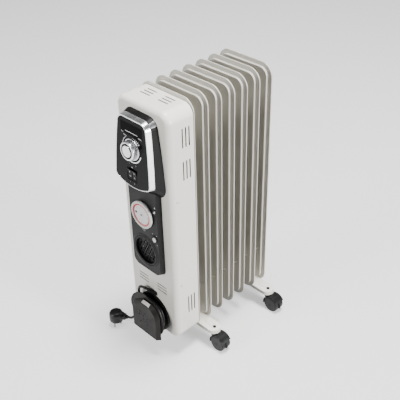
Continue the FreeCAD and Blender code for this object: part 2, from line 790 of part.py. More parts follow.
def timer():
    """A daily timer: a case behind the fascia, a turning dial, its ring of tappets and a slide."""
    front = size.fascia_front
    centre = V(0, front, size.timer_height)
    case = Piece("timer_case", Placement(centre, Rotation()))
    block = case.sketch(lift=-34.0)
    rounded(block, -29.0, -29.0, 58.0, 58.0, 4.0)
    case.pad(block, "31")
    spigot = case.sketch(lift=-3.5)
    circle(spigot, 0.0, 0.0, "2.2")
    case.pad(spigot, "10")
    case.done()

    dial = Piece("timer_dial", Placement(centre, Rotation()))
    disc = dial.sketch(lift=-2.0)
    circle(disc, 0.0, 0.0, "timer_radius - 2.8")
    dial.pad(disc, "4.4")
    plate = dial.sketch(lift=2.0)
    circle(plate, 0.0, 0.0, "timer_radius - 6.4")
    dial.pad(plate, "3.4")
    dial.soften("0.8", on_level(V(0, 1, 0), -5.4))
    bore = dial.sketch()
    circle(bore, 0.0, 0.0, "2.26")
    dial.pocket(bore, Midplane=True)
    dial.done()

    ring = Part.makeCylinder(size.timer_radius, 4.2, V(0, -2.5, 0), FORWARD)
    ring = ring.cut(Part.makeCylinder(size.timer_radius - 6.2, 6.0, V(0, -2.0, 0), FORWARD))
    gaps = []
    count = 48
    for step in range(count):
        gap = Part.makeBox(3.5, 6.0, 0.7, V(size.timer_radius - 2.8, -8.0, -0.35))
        gap.rotate(V(0, 0, 0), V(0, 1, 0), 360.0 * step / count)
        gaps.append(gap)
    tappets = ring.cut(Part.makeCompound(gaps))
    solid("timer_tappets", tappets, Placement(centre, Rotation()))

    slide = Piece("timer_override", Placement(V(OVERRIDE[0], front, OVERRIDE[1] - 2.2), Rotation()))
    lever = slide.sketch(lift=-4.0)
    rounded(lever, -1.1, -2.2, 2.2, 4.4, 0.6)
    slide.pad(lever, "6.6")
    shoe = slide.sketch(lift=-7.0)
    rounded(shoe, -2.4, -3.4, 4.8, 6.8, 0.6)
    slide.pad(shoe, "3.2")
    slide.done()


def fan_grille():
    """A round grille set back in a short tube, with a lattice of crossed slanting bars."""
    centre = V(0, size.fascia_front, size.grille_height)
    outer, inner, back = size.grille_radius, size.grille_radius - 4.2, 5.0
    rim = Part.makeCylinder(outer, 1.6, V(0, -0.02, 0), FORWARD)
    rim = rim.cut(Part.makeCylinder(inner, 8.0, V(0, 2, 0), FORWARD))
    rim = rim.makeChamfer(1.0, [edge for edge in rim.Edges if edge.BoundBox.YMin < -1.5 and edge.Length > 6 * outer])
    plate = Part.makeCylinder(inner + 0.5, 2.0, V(0, back + 2.0, 0), FORWARD)
    tube = Part.makeCylinder(outer - 3.3, back + 2.0, V(0, back + 2.0, 0), FORWARD)
    tube = tube.cut(Part.makeCylinder(inner - 0.4, back + 6.0, V(0, back + 4.0, 0), FORWARD))
    column_pitch, row_pitch, half_wide, half_tall = 8.8, 8.2, 3.2, 6.0
    holes = []
    for row in range(-4, 5):
        for column in range(-4, 5):
            across = column * column_pitch + (row % 2) * column_pitch / 2
            up = row * row_pitch
            if math.hypot(across, up) > inner - 5.0:
                continue
            corners = [V(across - half_wide, 0, up), V(across, 0, up - half_tall), V(across + half_wide, 0, up),
                       V(across, 0, up + half_tall), V(across - half_wide, 0, up)]
            holes.append(Part.Face(Part.makePolygon(corners)).extrude(V(0, 12, 0)))
    lattice = plate.cut(Part.makeCompound(holes))
    whole = rim.fuse(lattice).fuse(tube).removeSplitter()
    return solid("fan_grille", whole, Placement(centre, Rotation()))


def fan():
    """The fan heater behind the grille: duct, heating block, rotor and motor."""
    height = size.grille_height
    duct = Piece("fan_duct", Placement(V(0, -84.0, height), Rotation()))
    wall = duct.sketch()
    circle(wall, 0.0, 0.0, "36")
    circle(wall, 0.0, 0.0, "34.6")
    duct.pad(wall, "56")
    duct.done()

    block = Piece("ptc_element", Placement(V(0, -129.0, height), Rotation()))
    frame = block.sketch()
    rounded(frame, -24.0, -22.0, 48.0, 44.0, 2.0)
    block.pad(frame, "9")
    ribs = block.sketch()
    for step in range(9):
        rounded(ribs, -21.5 + step * 4.8, -19.0, 3.4, 38.0, 0.5)
    block.pocket(ribs, Reversed=True)
    block.done()

    base = V(0, -84.0, height)
    stator = cylinder("fan_stator", base, FORWARD, "14", "17")
    pin = cylinder("fan_pin", base, FORWARD, "1.5", "31")
    arms = [box(f"fan_arm_{rank}", base + V(-34.4, -3.0, -2.0), "68.8", "3", "4") for rank in range(2)]
    arms[1].Placement = Placement(base, Rotation(FORWARD, 90.0)).multiply(Placement(V(-34.4, -3.0, -2.0), Rotation()))
    node(fuse("fan_motor_pieces", [stator, pin] + arms), "fan_motor")

    hub = Part.makeCylinder(9.0, 14.0, V(0, 0, 0), FORWARD)
    blades = []
    for step in range(5):
        blade = Part.makeBox(24.5, 1.4, 15.0, V(8.0, -7.7, -7.5))
        blade.rotate(V(0, -7.0, 0), V(1, 0, 0), 34.0)
        blade.rotate(V(0, 0, 0), V(0, 1, 0), 72.0 * step)
        blades.append(blade)
    rotor = hub.multiFuse(blades).common(Part.makeCylinder(33.0, 14.0, V(0, 0, 0), FORWARD))
    rotor = rotor.cut(Part.makeCylinder(1.56, 30.0, V(0, 5, 0), FORWARD))
    solid("fan_rotor", rotor, Placement(V(0, -102.5, height), Rotation()))


def fan_switch():
    """A round rocker that turns the fan on, and its case."""
    across, height = FAN_SWITCH
    front = size.fascia_front
    case = Piece("fan_switch_case", Placement(V(across, front, height), Rotation()))
    block = case.sketch(lift=-15.0)
    circle(block, 0.0, 0.0, "6.8")
    case.pad(block, "15")
    lip = case.sketch()
    circle(lip, 0.0, 0.0, "8.2")
    case.pad(lip, "1")
    well = case.sketch(lift=1.0)
    circle(well, 0.0, 0.0, "5.9")
    case.pocket(well, "12")
    case.done()

    button = Part.makeCylinder(5.3, 7.0, V(0, 4.0, 0), FORWARD)
    dish = Part.makeCylinder(38.0, 20.0, V(-10, -40.6, 0), RIGHT)
    button = button.cut(dish)
    solid("fan_rocker", button, Placement(V(across, front, height), Rotation(RIGHT, 6.0)))


# ---------------------------------------------------------------- tip-over switch


TIP_PIVOT = V(44.0, -100.0, 236.0)


def tip_switch():
    """The switch that cuts the power when the heater falls: a case with a hanging weight inside."""
    case = Piece("tip_switch_case", Placement(TIP_PIVOT + V(0, 9.0, 0), Rotation()))
    block = case.sketch()
    rounded(block, -19.0, -38.0, 38.0, 46.0, 3.0)
    case.pad(block, "18")
    well = case.sketch(lift=18.0)
    rounded(well, -17.0, -36.0, 34.0, 42.0, 1.6)
    case.pocket(well, "16")
    pin = case.sketch()
    circle(pin, 0.0, 0.0, "2")
    case.pad(pin, "17.5")
    case.done()

    weight = Piece("tip_pendulum", Placement(TIP_PIVOT + V(0, 3.5, 0), Rotation()))
    bob = weight.sketch()
    circle(bob, 0.0, -22.0, "8")
    weight.pad(bob, "8")
    arm = weight.sketch()
    rounded(arm, -3.2, -20.0, 6.4, 23.2, 3.1)
    weight.pad(arm, "8")
    eye = weight.sketch()
    circle(eye, 0.0, 0.0, "2 + running_gap")
    weight.pocket(eye, Midplane=True)
    weight.done()


# ---------------------------------------------------------------- cord winder


DRUM_REAR = size.housing_front
FLANGE_DEPTH = 4.0
DRUM_DEPTH = 17.2
FRONT_FLANGE = DRUM_REAR - FLANGE_DEPTH - DRUM_DEPTH
PLATE_REAR = FRONT_FLANGE - 4.5


def winder_drum():
    """The spool: a round rear flange on the housing and the drum that the cord is wound on."""
    piece = Piece("winder_drum", Placement(V(0, DRUM_REAR, size.winder_height), Rotation()))
    flange = piece.sketch()
    circle(flange, 0.0, 0.0, "flange_radius")
    piece.pad(flange, str(FLANGE_DEPTH))
    piece.soften("1.4", on_level(V(0, 1, 0), -FLANGE_DEPTH))
    drum = piece.sketch()
    circle(drum, 0.0, 0.0, "drum_radius")
    piece.pad(drum, str(FLANGE_DEPTH + DRUM_DEPTH))
    bore = piece.sketch(lift=FLANGE_DEPTH + DRUM_DEPTH)
    circle(bore, 0.0, 0.0, "drum_radius - 3")
    piece.pocket(bore, str(DRUM_DEPTH - 2))
    return piece.done()


def winder_flange():
    """The spool's front flange: a disc with a lobe that keeps the cord on where it comes in."""
    piece = Piece("winder_flange", Placement(V(0, FRONT_FLANGE, size.winder_height), Rotation()))
    disc = piece.sketch()
    circle(disc, 0.0, 0.0, "flange_radius + 3.5")
    piece.pad(disc, "2.5")
    lobe = piece.sketch()
    outline(lobe, [(-6.0, 20.0, 0.0), (-3.0, 67.5, 4.0), (-27.0, 60.5, 14.0), (-50.5, 45.0, 12.0),
                   (-53.5, 17.0, 4.0), (-20.0, 6.0, 0.0)])
    piece.pad(lobe, "2.5")
    hub = piece.sketch()
    circle(hub, 0.0, 0.0, "drum_radius + 6")
    piece.pad(hub, "4.5")
    return piece.done()


def winder_outline(sketch, grow):
    """A flat foot, a broad round shoulder on the right, and a cut one on the left where the cord leaves."""
    half = size.winder_half - 1.0 + grow
    low, top = -47.0 - grow * 0.25, 41.0 + grow
    outline(sketch, [(-half, low, 2.0), (half, low, 2.0), (half, top, 30.0), (-8.0, top, 8.0),
                     (-half, 17.0 + grow * 0.4, 7.0)])


def winder_plate():
    """The front plate of the winder, bevelled all round, with a few small holes."""
    piece = Piece("winder_plate", Placement(V(0, PLATE_REAR, size.winder_height), Rotation()))
    rear = piece.sketch()
    winder_outline(rear, 6.5)
    front = piece.sketch(lift=9.2)
    winder_outline(front, 0.0)
    piece.loft(rear, front)
    holes = piece.sketch()
    for across, up in ((-13.3, 12.8), (-16.7, 1.6), (4.8, 13.7), (-2.5, 3.0), (-1.6, -6.4), (10.8, 1.9),
                       (-13.0, -18.1), (7.1, -8.5), (11.9, -17.4)):
        circle(holes, across, up, "1.7")
    piece.pocket(holes, Midplane=True)
    return piece.done()


# ---------------------------------------------------------------- mains cord

# The gland points to the left and a little up and forwards, out of the housing above the winder.
GLAND_BASE = V(7.0, size.housing_front, 155.0)
GLAND_AXIS = V(-0.80, -0.46, 0.385).normalize()
GLAND_LENGTH = 21.0
GLAND_TIP = GLAND_BASE + GLAND_AXIS * GLAND_LENGTH

# The plug stands on its pins beside the winder, and the cord enters it level from the side.
PLUG_CENTRE = V(-110.0, -172.0, 0.0)
PIN_LENGTH = 19.0
PLUG_HEIGHT = 28.0
PLUG_MIDDLE = PLUG_CENTRE + UP * 34.0
PLUG_AXIS = V(-0.87, -0.49, 0.0).normalize()
PLUG_REACH = 32.0
PLUG_ENTRY = PLUG_MIDDLE - PLUG_AXIS * PLUG_REACH

# The cord's two free stretches, from the gland to the coil and from the coil to the plug.
LEAD_IN = [
    GLAND_TIP,
    GLAND_TIP + GLAND_AXIS * 9.0,
    V(-28.5, -150.6, 164.0),
    V(-36.0, -149.6, 155.0),
    V(-40.5, -147.6, 143.5),
    V(-43.0, -145.2, 129.5),
    V(-44.0, -143.6, 113.0),
]
LEAD_OUT = [
    V(-44.6, -150.8, 92.0),
    V(-46.0, -151.4, 78.0),
    V(-50.5, -152.6, 64.0),
    V(-58.5, -154.2, 51.5),
    V(-69.0, -154.6, 41.0),
    PLUG_ENTRY - PLUG_AXIS * 10.5,
    PLUG_ENTRY,
]


def cord_path(points):
    """Straight runs joined by tangent arcs, each as large as its two runs allow."""
    edges = []
    start = points[0]
    for before, corner, after in zip(points, points[1:], points[2:]):
        back, on = before - corner, after - corner
        shorter = min(back.Length, on.Length)
        back, on = back.normalize(), on.normalize()
        half_turn = (math.pi - back.getAngle(on)) / 2
        reach = 0.45 * shorter
        radius = reach / math.tan(half_turn)
        print(f"  cord bend radius {radius:.1f} mm, turn {math.degrees(2 * half_turn):.0f} degrees")
        entry, leave = corner + back * reach, corner + on * reach
        inwards = (back + on).normalize()
        middle = corner + inwards * (radius / math.cos(half_turn) - radius)
        edges.append(Part.LineSegment(start, entry).toShape())
        edges.append(Part.Arc(entry, middle, leave).toShape())
        start = leave
    edges.append(Part.LineSegment(start, points[-1]).toShape())
    return Part.Wire(edges)


def cord_tube(label, points):
    radius = size.cord_diameter / 2
    print(label)
    path = cord_path(points)
    direction = (points[1] - points[0]).normalize()
    profile = Part.Wire(Part.makeCircle(radius, points[0], direction))
    tube = path.makePipeShell([profile], True, False)
    ideal = math.pi * radius ** 2 * path.Length
    print(f"  length {path.Length:.1f} mm, volume {tube.Volume:.0f} of {ideal:.0f} mm3")
    return solid(label, tube)


def mains_cord():
    gland = Piece("cord_gland", Placement(GLAND_BASE, Rotation(UP, GLAND_AXIS)))
    nose = gland.sketch("XZ")
    radius = size.cord_diameter / 2
    points = [V(0, 0, 0), V(6.6, 0, 0), V(6.0, 4.0, 0), V(radius + 0.9, GLAND_LENGTH, 0), V(0, GLAND_LENGTH, 0)]
    for start, end in zip(points, points[1:] + points[:1]):
        nose.addGeometry(Part.LineSegment(start, end), False)
    gland.revolve(nose)
    gland.done()

    cord_tube("cord_lead_in", LEAD_IN)
    rear = DRUM_REAR - FLANGE_DEPTH - 0.6
    coil = Piece("cord_coil", Placement(V(0, rear, size.winder_height), Rotation()))
    rings = coil.sketch()
    circle(rings, 0.0, 0.0, "coil_radius")
    circle(rings, 0.0, 0.0, "drum_radius + seat_gap")
    coil.pad(rings, "cord_diameter * 2 + 0.8")
    coil.done()
    cord_tube("cord_lead_out", LEAD_OUT)


def mains_plug():
    """A two-pin round plug with a side entry, standing on its pins."""
    case = cylinder("plug_case", PLUG_CENTRE + UP * PIN_LENGTH, UP, "17.5", str(PLUG_HEIGHT))
    document.recompute()
    rounding = document.addObject("Part::Fillet", "plug_case_rounded")
    rounding.Base = case
    top = PIN_LENGTH + PLUG_HEIGHT
    rims = [rank for rank, edge in enumerate(case.Shape.Edges, start=1)
            if isinstance(edge.Curve, Part.Circle) and abs(edge.Curve.Center.z - top) < 1e-3]
    rounding.Edges = [(rank, 8.0, 8.0) for rank in rims]
    neck = document.addObject("Part::Cone", "plug_neck")
    neck.Radius1 = 10.5
    neck.Radius2 = size.cord_diameter / 2 + 0.9
    neck.Height = PLUG_REACH
    neck.Placement = Placement(PLUG_MIDDLE, Rotation(UP, PLUG_AXIS * -1))
    node(fuse("plug_pieces", [rounding, neck]), "plug_body")

    pins = []
    for side in (-1, 1):
        foot = PLUG_CENTRE + V(3.0, side * 9.5, 0.0)
        shank = cylinder(f"plug_pin_{side + 1}", foot + UP * 2.4, UP, "2.4", f"{PIN_LENGTH} - 2.4")
        tip = document.addObject("Part::Sphere", f"plug_tip_{side + 1}")
        tip.Radius = 2.4
        tip.Placement = Placement(foot + UP * 2.4, Rotation())
        pins.append(fuse(f"plug_whole_pin_{side + 1}", [shank, tip]))
    group("plug_pins", pins)


# ---------------------------------------------------------------- feet and castors


FOOT_TOP = size.foot_top


def foot(label, level):
    """A steel channel across the heater, with round ends that carry the castors."""
    piece = Piece(label, Placement(V(0, level, FOOT_TOP), Rotation()))
    half, wide = size.foot_length / 2, size.foot_width / 2
    blank = piece.sketch("XY")
    rounded(blank, -half, -wide, 2 * half, 2 * wide, wide - 0.5)
    piece.pad(blank, "foot_lip + foot_sheet", Reversed=True)
    hollow = piece.sketch("XY", lift=-size.foot_lip - size.foot_sheet)
    skin = size.foot_sheet
    rounded(hollow, skin - half, skin - wide, 2 * (half - skin), 2 * (wide - skin), wide - 0.5 - skin)
    piece.pocket(hollow, "foot_lip", Reversed=True)
    holes = piece.sketch("XY")
    for side in (-1, 1):
        circle(holes, side * size.castor_reach, 0.0, "stem_radius + running_gap")
        circle(holes, side * U_HALF, 0.0, "rod_radius + 0.4")
    piece.pocket(holes, Midplane=True)
    return piece.done()


U_HALF = size.collar_radius + size.rod_radius + 0.6
U_LEG = LOW_HEADER - FOOT_TOP + 18.0


def u_bolt(name, level):
    """A rod bent over a header collar, with both legs down through the foot."""
    piece = Piece(name, Placement(V(0, level, LOW_HEADER), Rotation()))
    spine = piece.sketch("XZ")
    spine.addGeometry(Part.LineSegment(V(-U_HALF, -U_LEG, 0), V(-U_HALF, 0, 0)), False)
    spine.addGeometry(Part.Arc(V(-U_HALF, 0, 0), V(0, U_HALF, 0), V(U_HALF, 0, 0)), False)
    spine.addGeometry(Part.LineSegment(V(U_HALF, 0, 0), V(U_HALF, -U_LEG, 0)), False)
    profile = piece.sketch("XY", lift=-U_LEG)
    circle(profile, -U_HALF, 0.0, "rod_radius")
    document.recompute()
    pipe = piece.body.newObject("PartDesign::AdditivePipe", f"{name}_pipe")
    pipe.Profile = profile
    pipe.Spine = (spine, ["Edge1", "Edge2", "Edge3"])
    document.recompute()
    return piece.body


def wing_nut(name, across, level):
    """A nut with two wings, under the foot's channel."""
    seat = FOOT_TOP - size.foot_sheet
    base = V(across, level, seat - 7.0)
    hub = cylinder(f"{name}_hub", base, UP, "6", "7")
    wings = box(f"{name}_wings", base + V(-11.0, -1.2, 0.0), "22", "2.4", "6")
    bore = cylinder(f"{name}_bore", base + UP * -2.0, UP, "rod_radius + seat_gap", "12")
    return cut(name, fuse(f"{name}_solid", [hub, wings]), bore)


def castor(label, side, level):
    """A twin-wheel castor: a hooded fork on a stem, and two wheels that turn on its axle."""
    stem_at = V(side * size.castor_reach, level, 0)
    hub_at = stem_at + V(side * size.castor_trail, 0, size.wheel_radius)
    wide = size.wheel_width
    web = 2.4
    hood_outer, hood_inner = size.wheel_radius + 2.6, size.wheel_radius + 0.9
    span = 2 * (wide + web) + 1.6
    ring = Part.makeCylinder(hood_outer, span, hub_at + V(0, span / 2, 0), FORWARD)
    ring = ring.cut(Part.makeCylinder(hood_inner, span + 2, hub_at + V(0, span / 2 + 1, 0), FORWARD))
    keep = Part.makeBox(60.0, span + 4, 40.0, V(-30.0, -span / 2 - 2, 3.0))
    keep.rotate(V(0, 0, 0), V(0, 1, 0), side * -22.0)
    keep.translate(hub_at)
    hood = ring.common(keep)
    plate = Part.makeCylinder(hood_outer, 2 * web, hub_at + V(0, web, 0), FORWARD)
    clear = Part.makeBox(80.0, 40.0, 40.0, V(-40.0, -20.0, -48.0))
    clear.translate(hub_at)
    plate = plate.cut(clear)
    axle = Part.makeCylinder(size.axle_radius, span - 2.0, hub_at + V(0, span / 2 - 1.0, 0), FORWARD)
    collar_top = FOOT_TOP - size.foot_sheet - 0.6
    collar = Part.makeCylinder(8.0, collar_top - 30.0, stem_at + V(0, 0, 30.0), UP)
    outer_wheel = Part.makeCylinder(hood_inner, span + 2, hub_at + V(0, span / 2 + 1, 0), FORWARD)
    collar = collar.cut(outer_wheel)
    stem = Part.makeCylinder(size.stem_radius, FOOT_TOP + 1.4 - 34.0, stem_at + V(0, 0, 34.0), UP)
    stem = stem.cut(outer_wheel)
    bridge = Part.makeBox(size.castor_trail, 2 * web, 16.0, V(0, -web, 28.0))
    bridge.translate(V(stem_at.x if side > 0 else stem_at.x - size.castor_trail, level, 0))
    fork = hood.multiFuse([plate, axle, collar, stem, bridge.common(Part.makeBox(400, 400, 44.0, V(-200, -200, 0)))])
    fork = fork.removeSplitter()
    solid(f"{label}_fork", fork)

    wheels = []
    for way in (-1, 1):
        inner_face = hub_at + V(0, way * (web + 0.35), 0)
        outwards = V(0, way, 0)
        wheel = Part.makeCylinder(size.wheel_radius, wide, inner_face, outwards)
        rims = [edge for edge in wheel.Edges if isinstance(edge.Curve, Part.Circle)
                and (edge.Curve.Center - inner_face).Length > 1.0]
        wheel = wheel.makeFillet(2.5, rims)
        wheel = wheel.cut(Part.makeCylinder(size.axle_radius + size.running_gap, wide + 4, inner_face - outwards, outwards))
        wheels.append(wheel)
    made = document.addObject("Part::Feature", f"{label}_wheels_shape")
    made.Shape = Part.makeCompound(wheels)
    node(made, f"{label}_wheels", Placement())


def build():
    for rank in range(FIN_COUNT):
        fin(rank)
    header_collars()
    heating_element()
    header_plugs()
    housing_shell()
    back_plate()
    group("housing_screws", housing_screws())
    console_body()
    trim_band()
    face_plate()
    window_lens()
    pilot_lamp()
    thermostat()
    power_switch()
    fascia()
    timer()
    fan_grille()
    fan_switch()
    fan()
    tip_switch()
    winder_drum()
    winder_flange()
    winder_plate()
    mains_cord()
    mains_plug()
    foot("foot_front", FRONT_FOOT)
    foot("foot_rear", REAR_FOOT)
    group("u_bolts", [u_bolt("u_bolt_front", FRONT_FOOT), u_bolt("u_bolt_rear", REAR_FOOT)])
    nuts = []
    for end, level in (("front", FRONT_FOOT), ("rear", REAR_FOOT)):
        for way, across in (("left", -U_HALF), ("right", U_HALF)):
            nuts.append(wing_nut(f"wing_nut_{end}_{way}", across, level))
    group("wing_nuts", nuts)
    for end, level in (("front", FRONT_FOOT), ("rear", REAR_FOOT)):
        for way, side in (("left", -1), ("right", 1)):
            castor(f"castor_{end}_{way}", side, level)


def check_and_write():
    """Stop on any failed object, then write one file for each node."""
    document.recompute()
    for thing in document.Objects:
        if "Invalid" in thing.State or "Error" in thing.State:
            raise RuntimeError(f"{thing.Label} failed: {thing.State}")
    os.makedirs("parts", exist_ok=True)
    for thing in nodes:
        if thing.Shape.isNull() or not thing.Shape.isValid():
            raise RuntimeError(f"{thing.Label} has no valid shape")
        thing.Shape.exportStep(os.path.join("parts", f"{thing.Label}.step"))
    print(len(nodes), "nodes written")


build()
check_and_write()
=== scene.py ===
import json
import math

import bmesh
import bpy
from mathutils import Matrix, Vector


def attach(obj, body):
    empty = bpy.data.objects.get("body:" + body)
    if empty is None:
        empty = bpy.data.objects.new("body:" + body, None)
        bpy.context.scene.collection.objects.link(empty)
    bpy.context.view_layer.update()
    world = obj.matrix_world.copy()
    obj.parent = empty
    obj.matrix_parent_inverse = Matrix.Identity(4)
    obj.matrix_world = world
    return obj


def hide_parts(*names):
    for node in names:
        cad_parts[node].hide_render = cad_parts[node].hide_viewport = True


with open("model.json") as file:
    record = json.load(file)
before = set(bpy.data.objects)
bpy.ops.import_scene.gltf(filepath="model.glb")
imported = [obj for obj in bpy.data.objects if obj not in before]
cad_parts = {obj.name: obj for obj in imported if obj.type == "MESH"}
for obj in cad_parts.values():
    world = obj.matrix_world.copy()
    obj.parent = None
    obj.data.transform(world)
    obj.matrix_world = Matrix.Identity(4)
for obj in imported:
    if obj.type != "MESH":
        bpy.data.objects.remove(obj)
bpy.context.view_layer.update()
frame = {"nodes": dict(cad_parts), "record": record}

MM = 0.001
BODY_OF = {node: body for body, names in frame["record"]["behaviour"]["bodies"].items() for node in names}
SLOT_OF = {part["node"]: part["material_slot"] for part in frame["record"]["subparts"]}
X, Y, Z = Vector((1, 0, 0)), Vector((0, 1, 0)), Vector((0, 0, 1))


# ---------------------------------------------------------------- camera


def add_camera():
    """The photograph's viewing angle."""
    azimuth, elevation, roll = 0.812036, 0.597923, -0.0245685
    back = Vector((math.sin(azimuth) * math.cos(elevation), -math.cos(azimuth) * math.cos(elevation),
                   math.sin(elevation)))
    right = (-back).cross(Z).normalized()
    up = right.cross(-back)
    across = right * math.cos(roll) + up * math.sin(roll)
    above = up * math.cos(roll) - right * math.sin(roll)
    data = bpy.data.cameras.new("camera")
    data.sensor_width = 36.0
    data.lens = 65.12
    camera = bpy.data.objects.new("camera", data)
    turn = Matrix((across, above, back)).transposed()
    camera.matrix_world = Matrix.Translation((1.0003, -0.9285, 1.2755)) @ turn.to_4x4()
    bpy.context.collection.objects.link(camera)
    bpy.context.scene.camera = camera


add_camera()


# ---------------------------------------------------------------- materials


def link(tree, source, output, target, socket):
    tree.links.new(source.outputs[output], target.inputs[socket])


def spread(tree, source, low, high):
    """A noise value spread evenly over a range."""
    made = tree.nodes.new("ShaderNodeMapRange")
    made.inputs["From Min"].default_value = 0.3
    made.inputs["From Max"].default_value = 0.7
    made.inputs["To Min"].default_value = low
    made.inputs["To Max"].default_value = high
    link(tree, source, 0, made, "Value")
    return made


def noise(tree, where, scale, detail=3.0, stretch=None):
    made = tree.nodes.new("ShaderNodeTexNoise")
    made.inputs["Scale"].default_value = scale
    made.inputs["Detail"].default_value = detail
    if stretch is not None:
        mapping = tree.nodes.new("ShaderNodeMapping")
        mapping.inputs["Scale"].default_value = stretch
        link(tree, where, "Object", mapping, "Vector")
        tree.links.new(mapping.outputs[0], made.inputs["Vector"])
    else:
        link(tree, where, "Object", made, "Vector")
    return made


def surface(name, colour, rough, metallic=0.0, blotch=0.06, smudge=0.06, grain=600.0, relief=0.15,
            depth=0.1, stretch=None, coat=0.0, dust=None, rings=None, blotch_scale=9.0,
            gleam=0.5):
    """A finish with uneven colour, uneven gloss and a fine relief, all from noise in metres."""
    made = bpy.data.materials.new(name)
    made.use_nodes = True
    made.diffuse_color = (*colour, 1.0)
    tree = made.node_tree
    shader = tree.nodes["Principled BSDF"]
    shader.inputs["Metallic"].default_value = metallic
    shader.inputs["Specular IOR Level"].default_value = gleam
    if coat:
        shader.inputs["Coat Weight"].default_value = coat
        shader.inputs["Coat Roughness"].default_value = 0.08
    where = tree.nodes.new("ShaderNodeTexCoord")
    broad = noise(tree, where, blotch_scale, 4.0)
    shade = tree.nodes.new("ShaderNodeMix")
    shade.data_type = "RGBA"
    shade.inputs["A"].default_value = (*[c * (1 - blotch) for c in colour], 1.0)
    shade.inputs["B"].default_value = (*[min(c * (1 + blotch), 1.0) for c in colour], 1.0)
    tree.links.new(spread(tree, broad, 0.0, 1.0).outputs[0], shade.inputs["Factor"])
    last = shade.outputs["Result"]
    if dust is not None:
        fine = noise(tree, where, grain * 0.35, 2.0, stretch)
        over = tree.nodes.new("ShaderNodeMix")
        over.data_type = "RGBA"
        over.inputs["B"].default_value = (*dust, 1.0)
        tree.links.new(spread(tree, fine, 0.0, 0.22).outputs[0], over.inputs["Factor"])
        tree.links.new(last, over.inputs["A"])
        last = over.outputs["Result"]
    tree.links.new(last, shader.inputs["Base Color"])
    uneven = noise(tree, where, 35.0, 4.0, stretch)
    gloss = spread(tree, uneven, max(rough - smudge, 0.02), rough + smudge)
    tree.links.new(gloss.outputs[0], shader.inputs["Roughness"])
    bump = tree.nodes.new("ShaderNodeBump")
    bump.inputs["Strength"].default_value = relief
    bump.inputs["Distance"].default_value = depth * MM
    if rings is not None:
        mapping = tree.nodes.new("ShaderNodeMapping")
        mapping.inputs["Location"].default_value = [-c for c in rings]
        link(tree, where, "Object", mapping, "Vector")
        wave = tree.nodes.new("ShaderNodeTexWave")
        wave.wave_type = "RINGS"
        wave.rings_direction = "Y"
        wave.inputs["Scale"].default_value = grain
        tree.links.new(mapping.outputs[0], wave.inputs["Vector"])
        link(tree, wave, "Fac", bump, "Height")
    else:
        fine = noise(tree, where, grain, 2.0, stretch)
        link(tree, fine, 0, bump, "Height")
    link(tree, bump, 0, shader, "Normal")
    return made


def console(across=0.0, ahead=0.0, up=0.0):
    """A place on the leaning console, in metres from millimetres."""
    return (CONSOLE + X * across + AHEAD * ahead + ABOVE * up) * MM


LEAN = math.radians(3.6)
CONSOLE = Vector((0, -164.7, 545.0))
AHEAD = Vector((0, -math.cos(LEAN), math.sin(LEAN)))
ABOVE = Vector((0, math.sin(LEAN), math.cos(LEAN)))

KNOB = console(0, 0, 4)
FINISH = {
    "cream_enamel": surface("cream_enamel", (0.84, 0.815, 0.745), 0.34, blotch=0.02, smudge=0.05, grain=420,
                            relief=0.12, depth=0.12, coat=0.15),
    # The fins' enamel is the housing's cream made darker and greyer: painted shade standing in for the shade
    # that falls between the fins.
    "fin_enamel": surface("fin_enamel", (0.54, 0.52, 0.465), 0.38, blotch=0.03, smudge=0.05, grain=420,
                          relief=0.12, depth=0.12),
    "bright_steel": surface("bright_steel", (0.60, 0.60, 0.60), 0.36, metallic=1.0, blotch=0.12, smudge=0.1,
                            grain=260, relief=0.2, depth=0.06, blotch_scale=60),
    "element_steel": surface("element_steel", (0.28, 0.25, 0.22), 0.5, metallic=1.0, blotch=0.25, grain=300),
    "black_satin_plastic": surface("black_satin_plastic", (0.006, 0.0056, 0.0056), 0.46, blotch=0.12,
                                   gleam=0.14,
                                   smudge=0.06, grain=1500, relief=0.3, depth=0.06),
    "black_gloss_plastic": surface("black_gloss_plastic", (0.002, 0.002, 0.0022), 0.22, blotch=0.2,
                                   gleam=0.08,
                                   smudge=0.04, grain=200, relief=0.02, depth=0.05),
    "satin_silver": surface("satin_silver", (0.78, 0.79, 0.81), 0.27, metallic=1.0, blotch=0.04, smudge=0.05,
                            grain=1200, relief=0.08, depth=0.04),
    "knob_cap_silver": surface("knob_cap_silver", (0.82, 0.83, 0.85), 0.25, metallic=1.0, blotch=0.03,
                               grain=420, relief=0.25, depth=0.05, rings=tuple(KNOB)),
    "smoked_lens": surface("smoked_lens", (0.0015, 0.001, 0.0013), 0.10, blotch=0.2, smudge=0.02, grain=90,
                           relief=0.02, depth=0.05, gleam=0.03),
    "lamp_amber": surface("lamp_amber", (0.85, 0.30, 0.08), 0.15, blotch=0.1, grain=300),
    "white_plastic": surface("white_plastic", (0.86, 0.86, 0.85), 0.30, blotch=0.02, smudge=0.05, grain=700,
                             relief=0.08, depth=0.05),
    "black_matte_plastic": surface("black_matte_plastic", (0.0085, 0.0074, 0.0068), 0.50, blotch=0.15,
                                   gleam=0.15,
                                   smudge=0.07, grain=1300, relief=0.35, depth=0.07),
    "castor_black": surface("castor_black", (0.006, 0.006, 0.0065), 0.42, blotch=0.15, smudge=0.1, grain=900,
                            relief=0.2, depth=0.06, dust=(0.011, 0.0105, 0.010), gleam=0.2),
    "motor_steel": surface("motor_steel", (0.42, 0.42, 0.43), 0.4, metallic=1.0, blotch=0.1, grain=300),
    "heater_aluminium": surface("heater_aluminium", (0.6, 0.6, 0.61), 0.45, metallic=1.0, grain=500),
    "cord_black": surface("cord_black", (0.005, 0.005, 0.0054), 0.46, blotch=0.12, smudge=0.08, grain=900,
                          relief=0.2, depth=0.08, gleam=0.25),
    "plug_black": surface("plug_black", (0.004, 0.004, 0.0048), 0.38, blotch=0.15, smudge=0.08, grain=1100,
                          relief=0.3, depth=0.06, gleam=0.35),
    "pin_nickel": surface("pin_nickel", (0.34, 0.33, 0.32), 0.30, metallic=1.0, blotch=0.06, grain=700,
                          stretch=(1, 1, 0.05)),
}
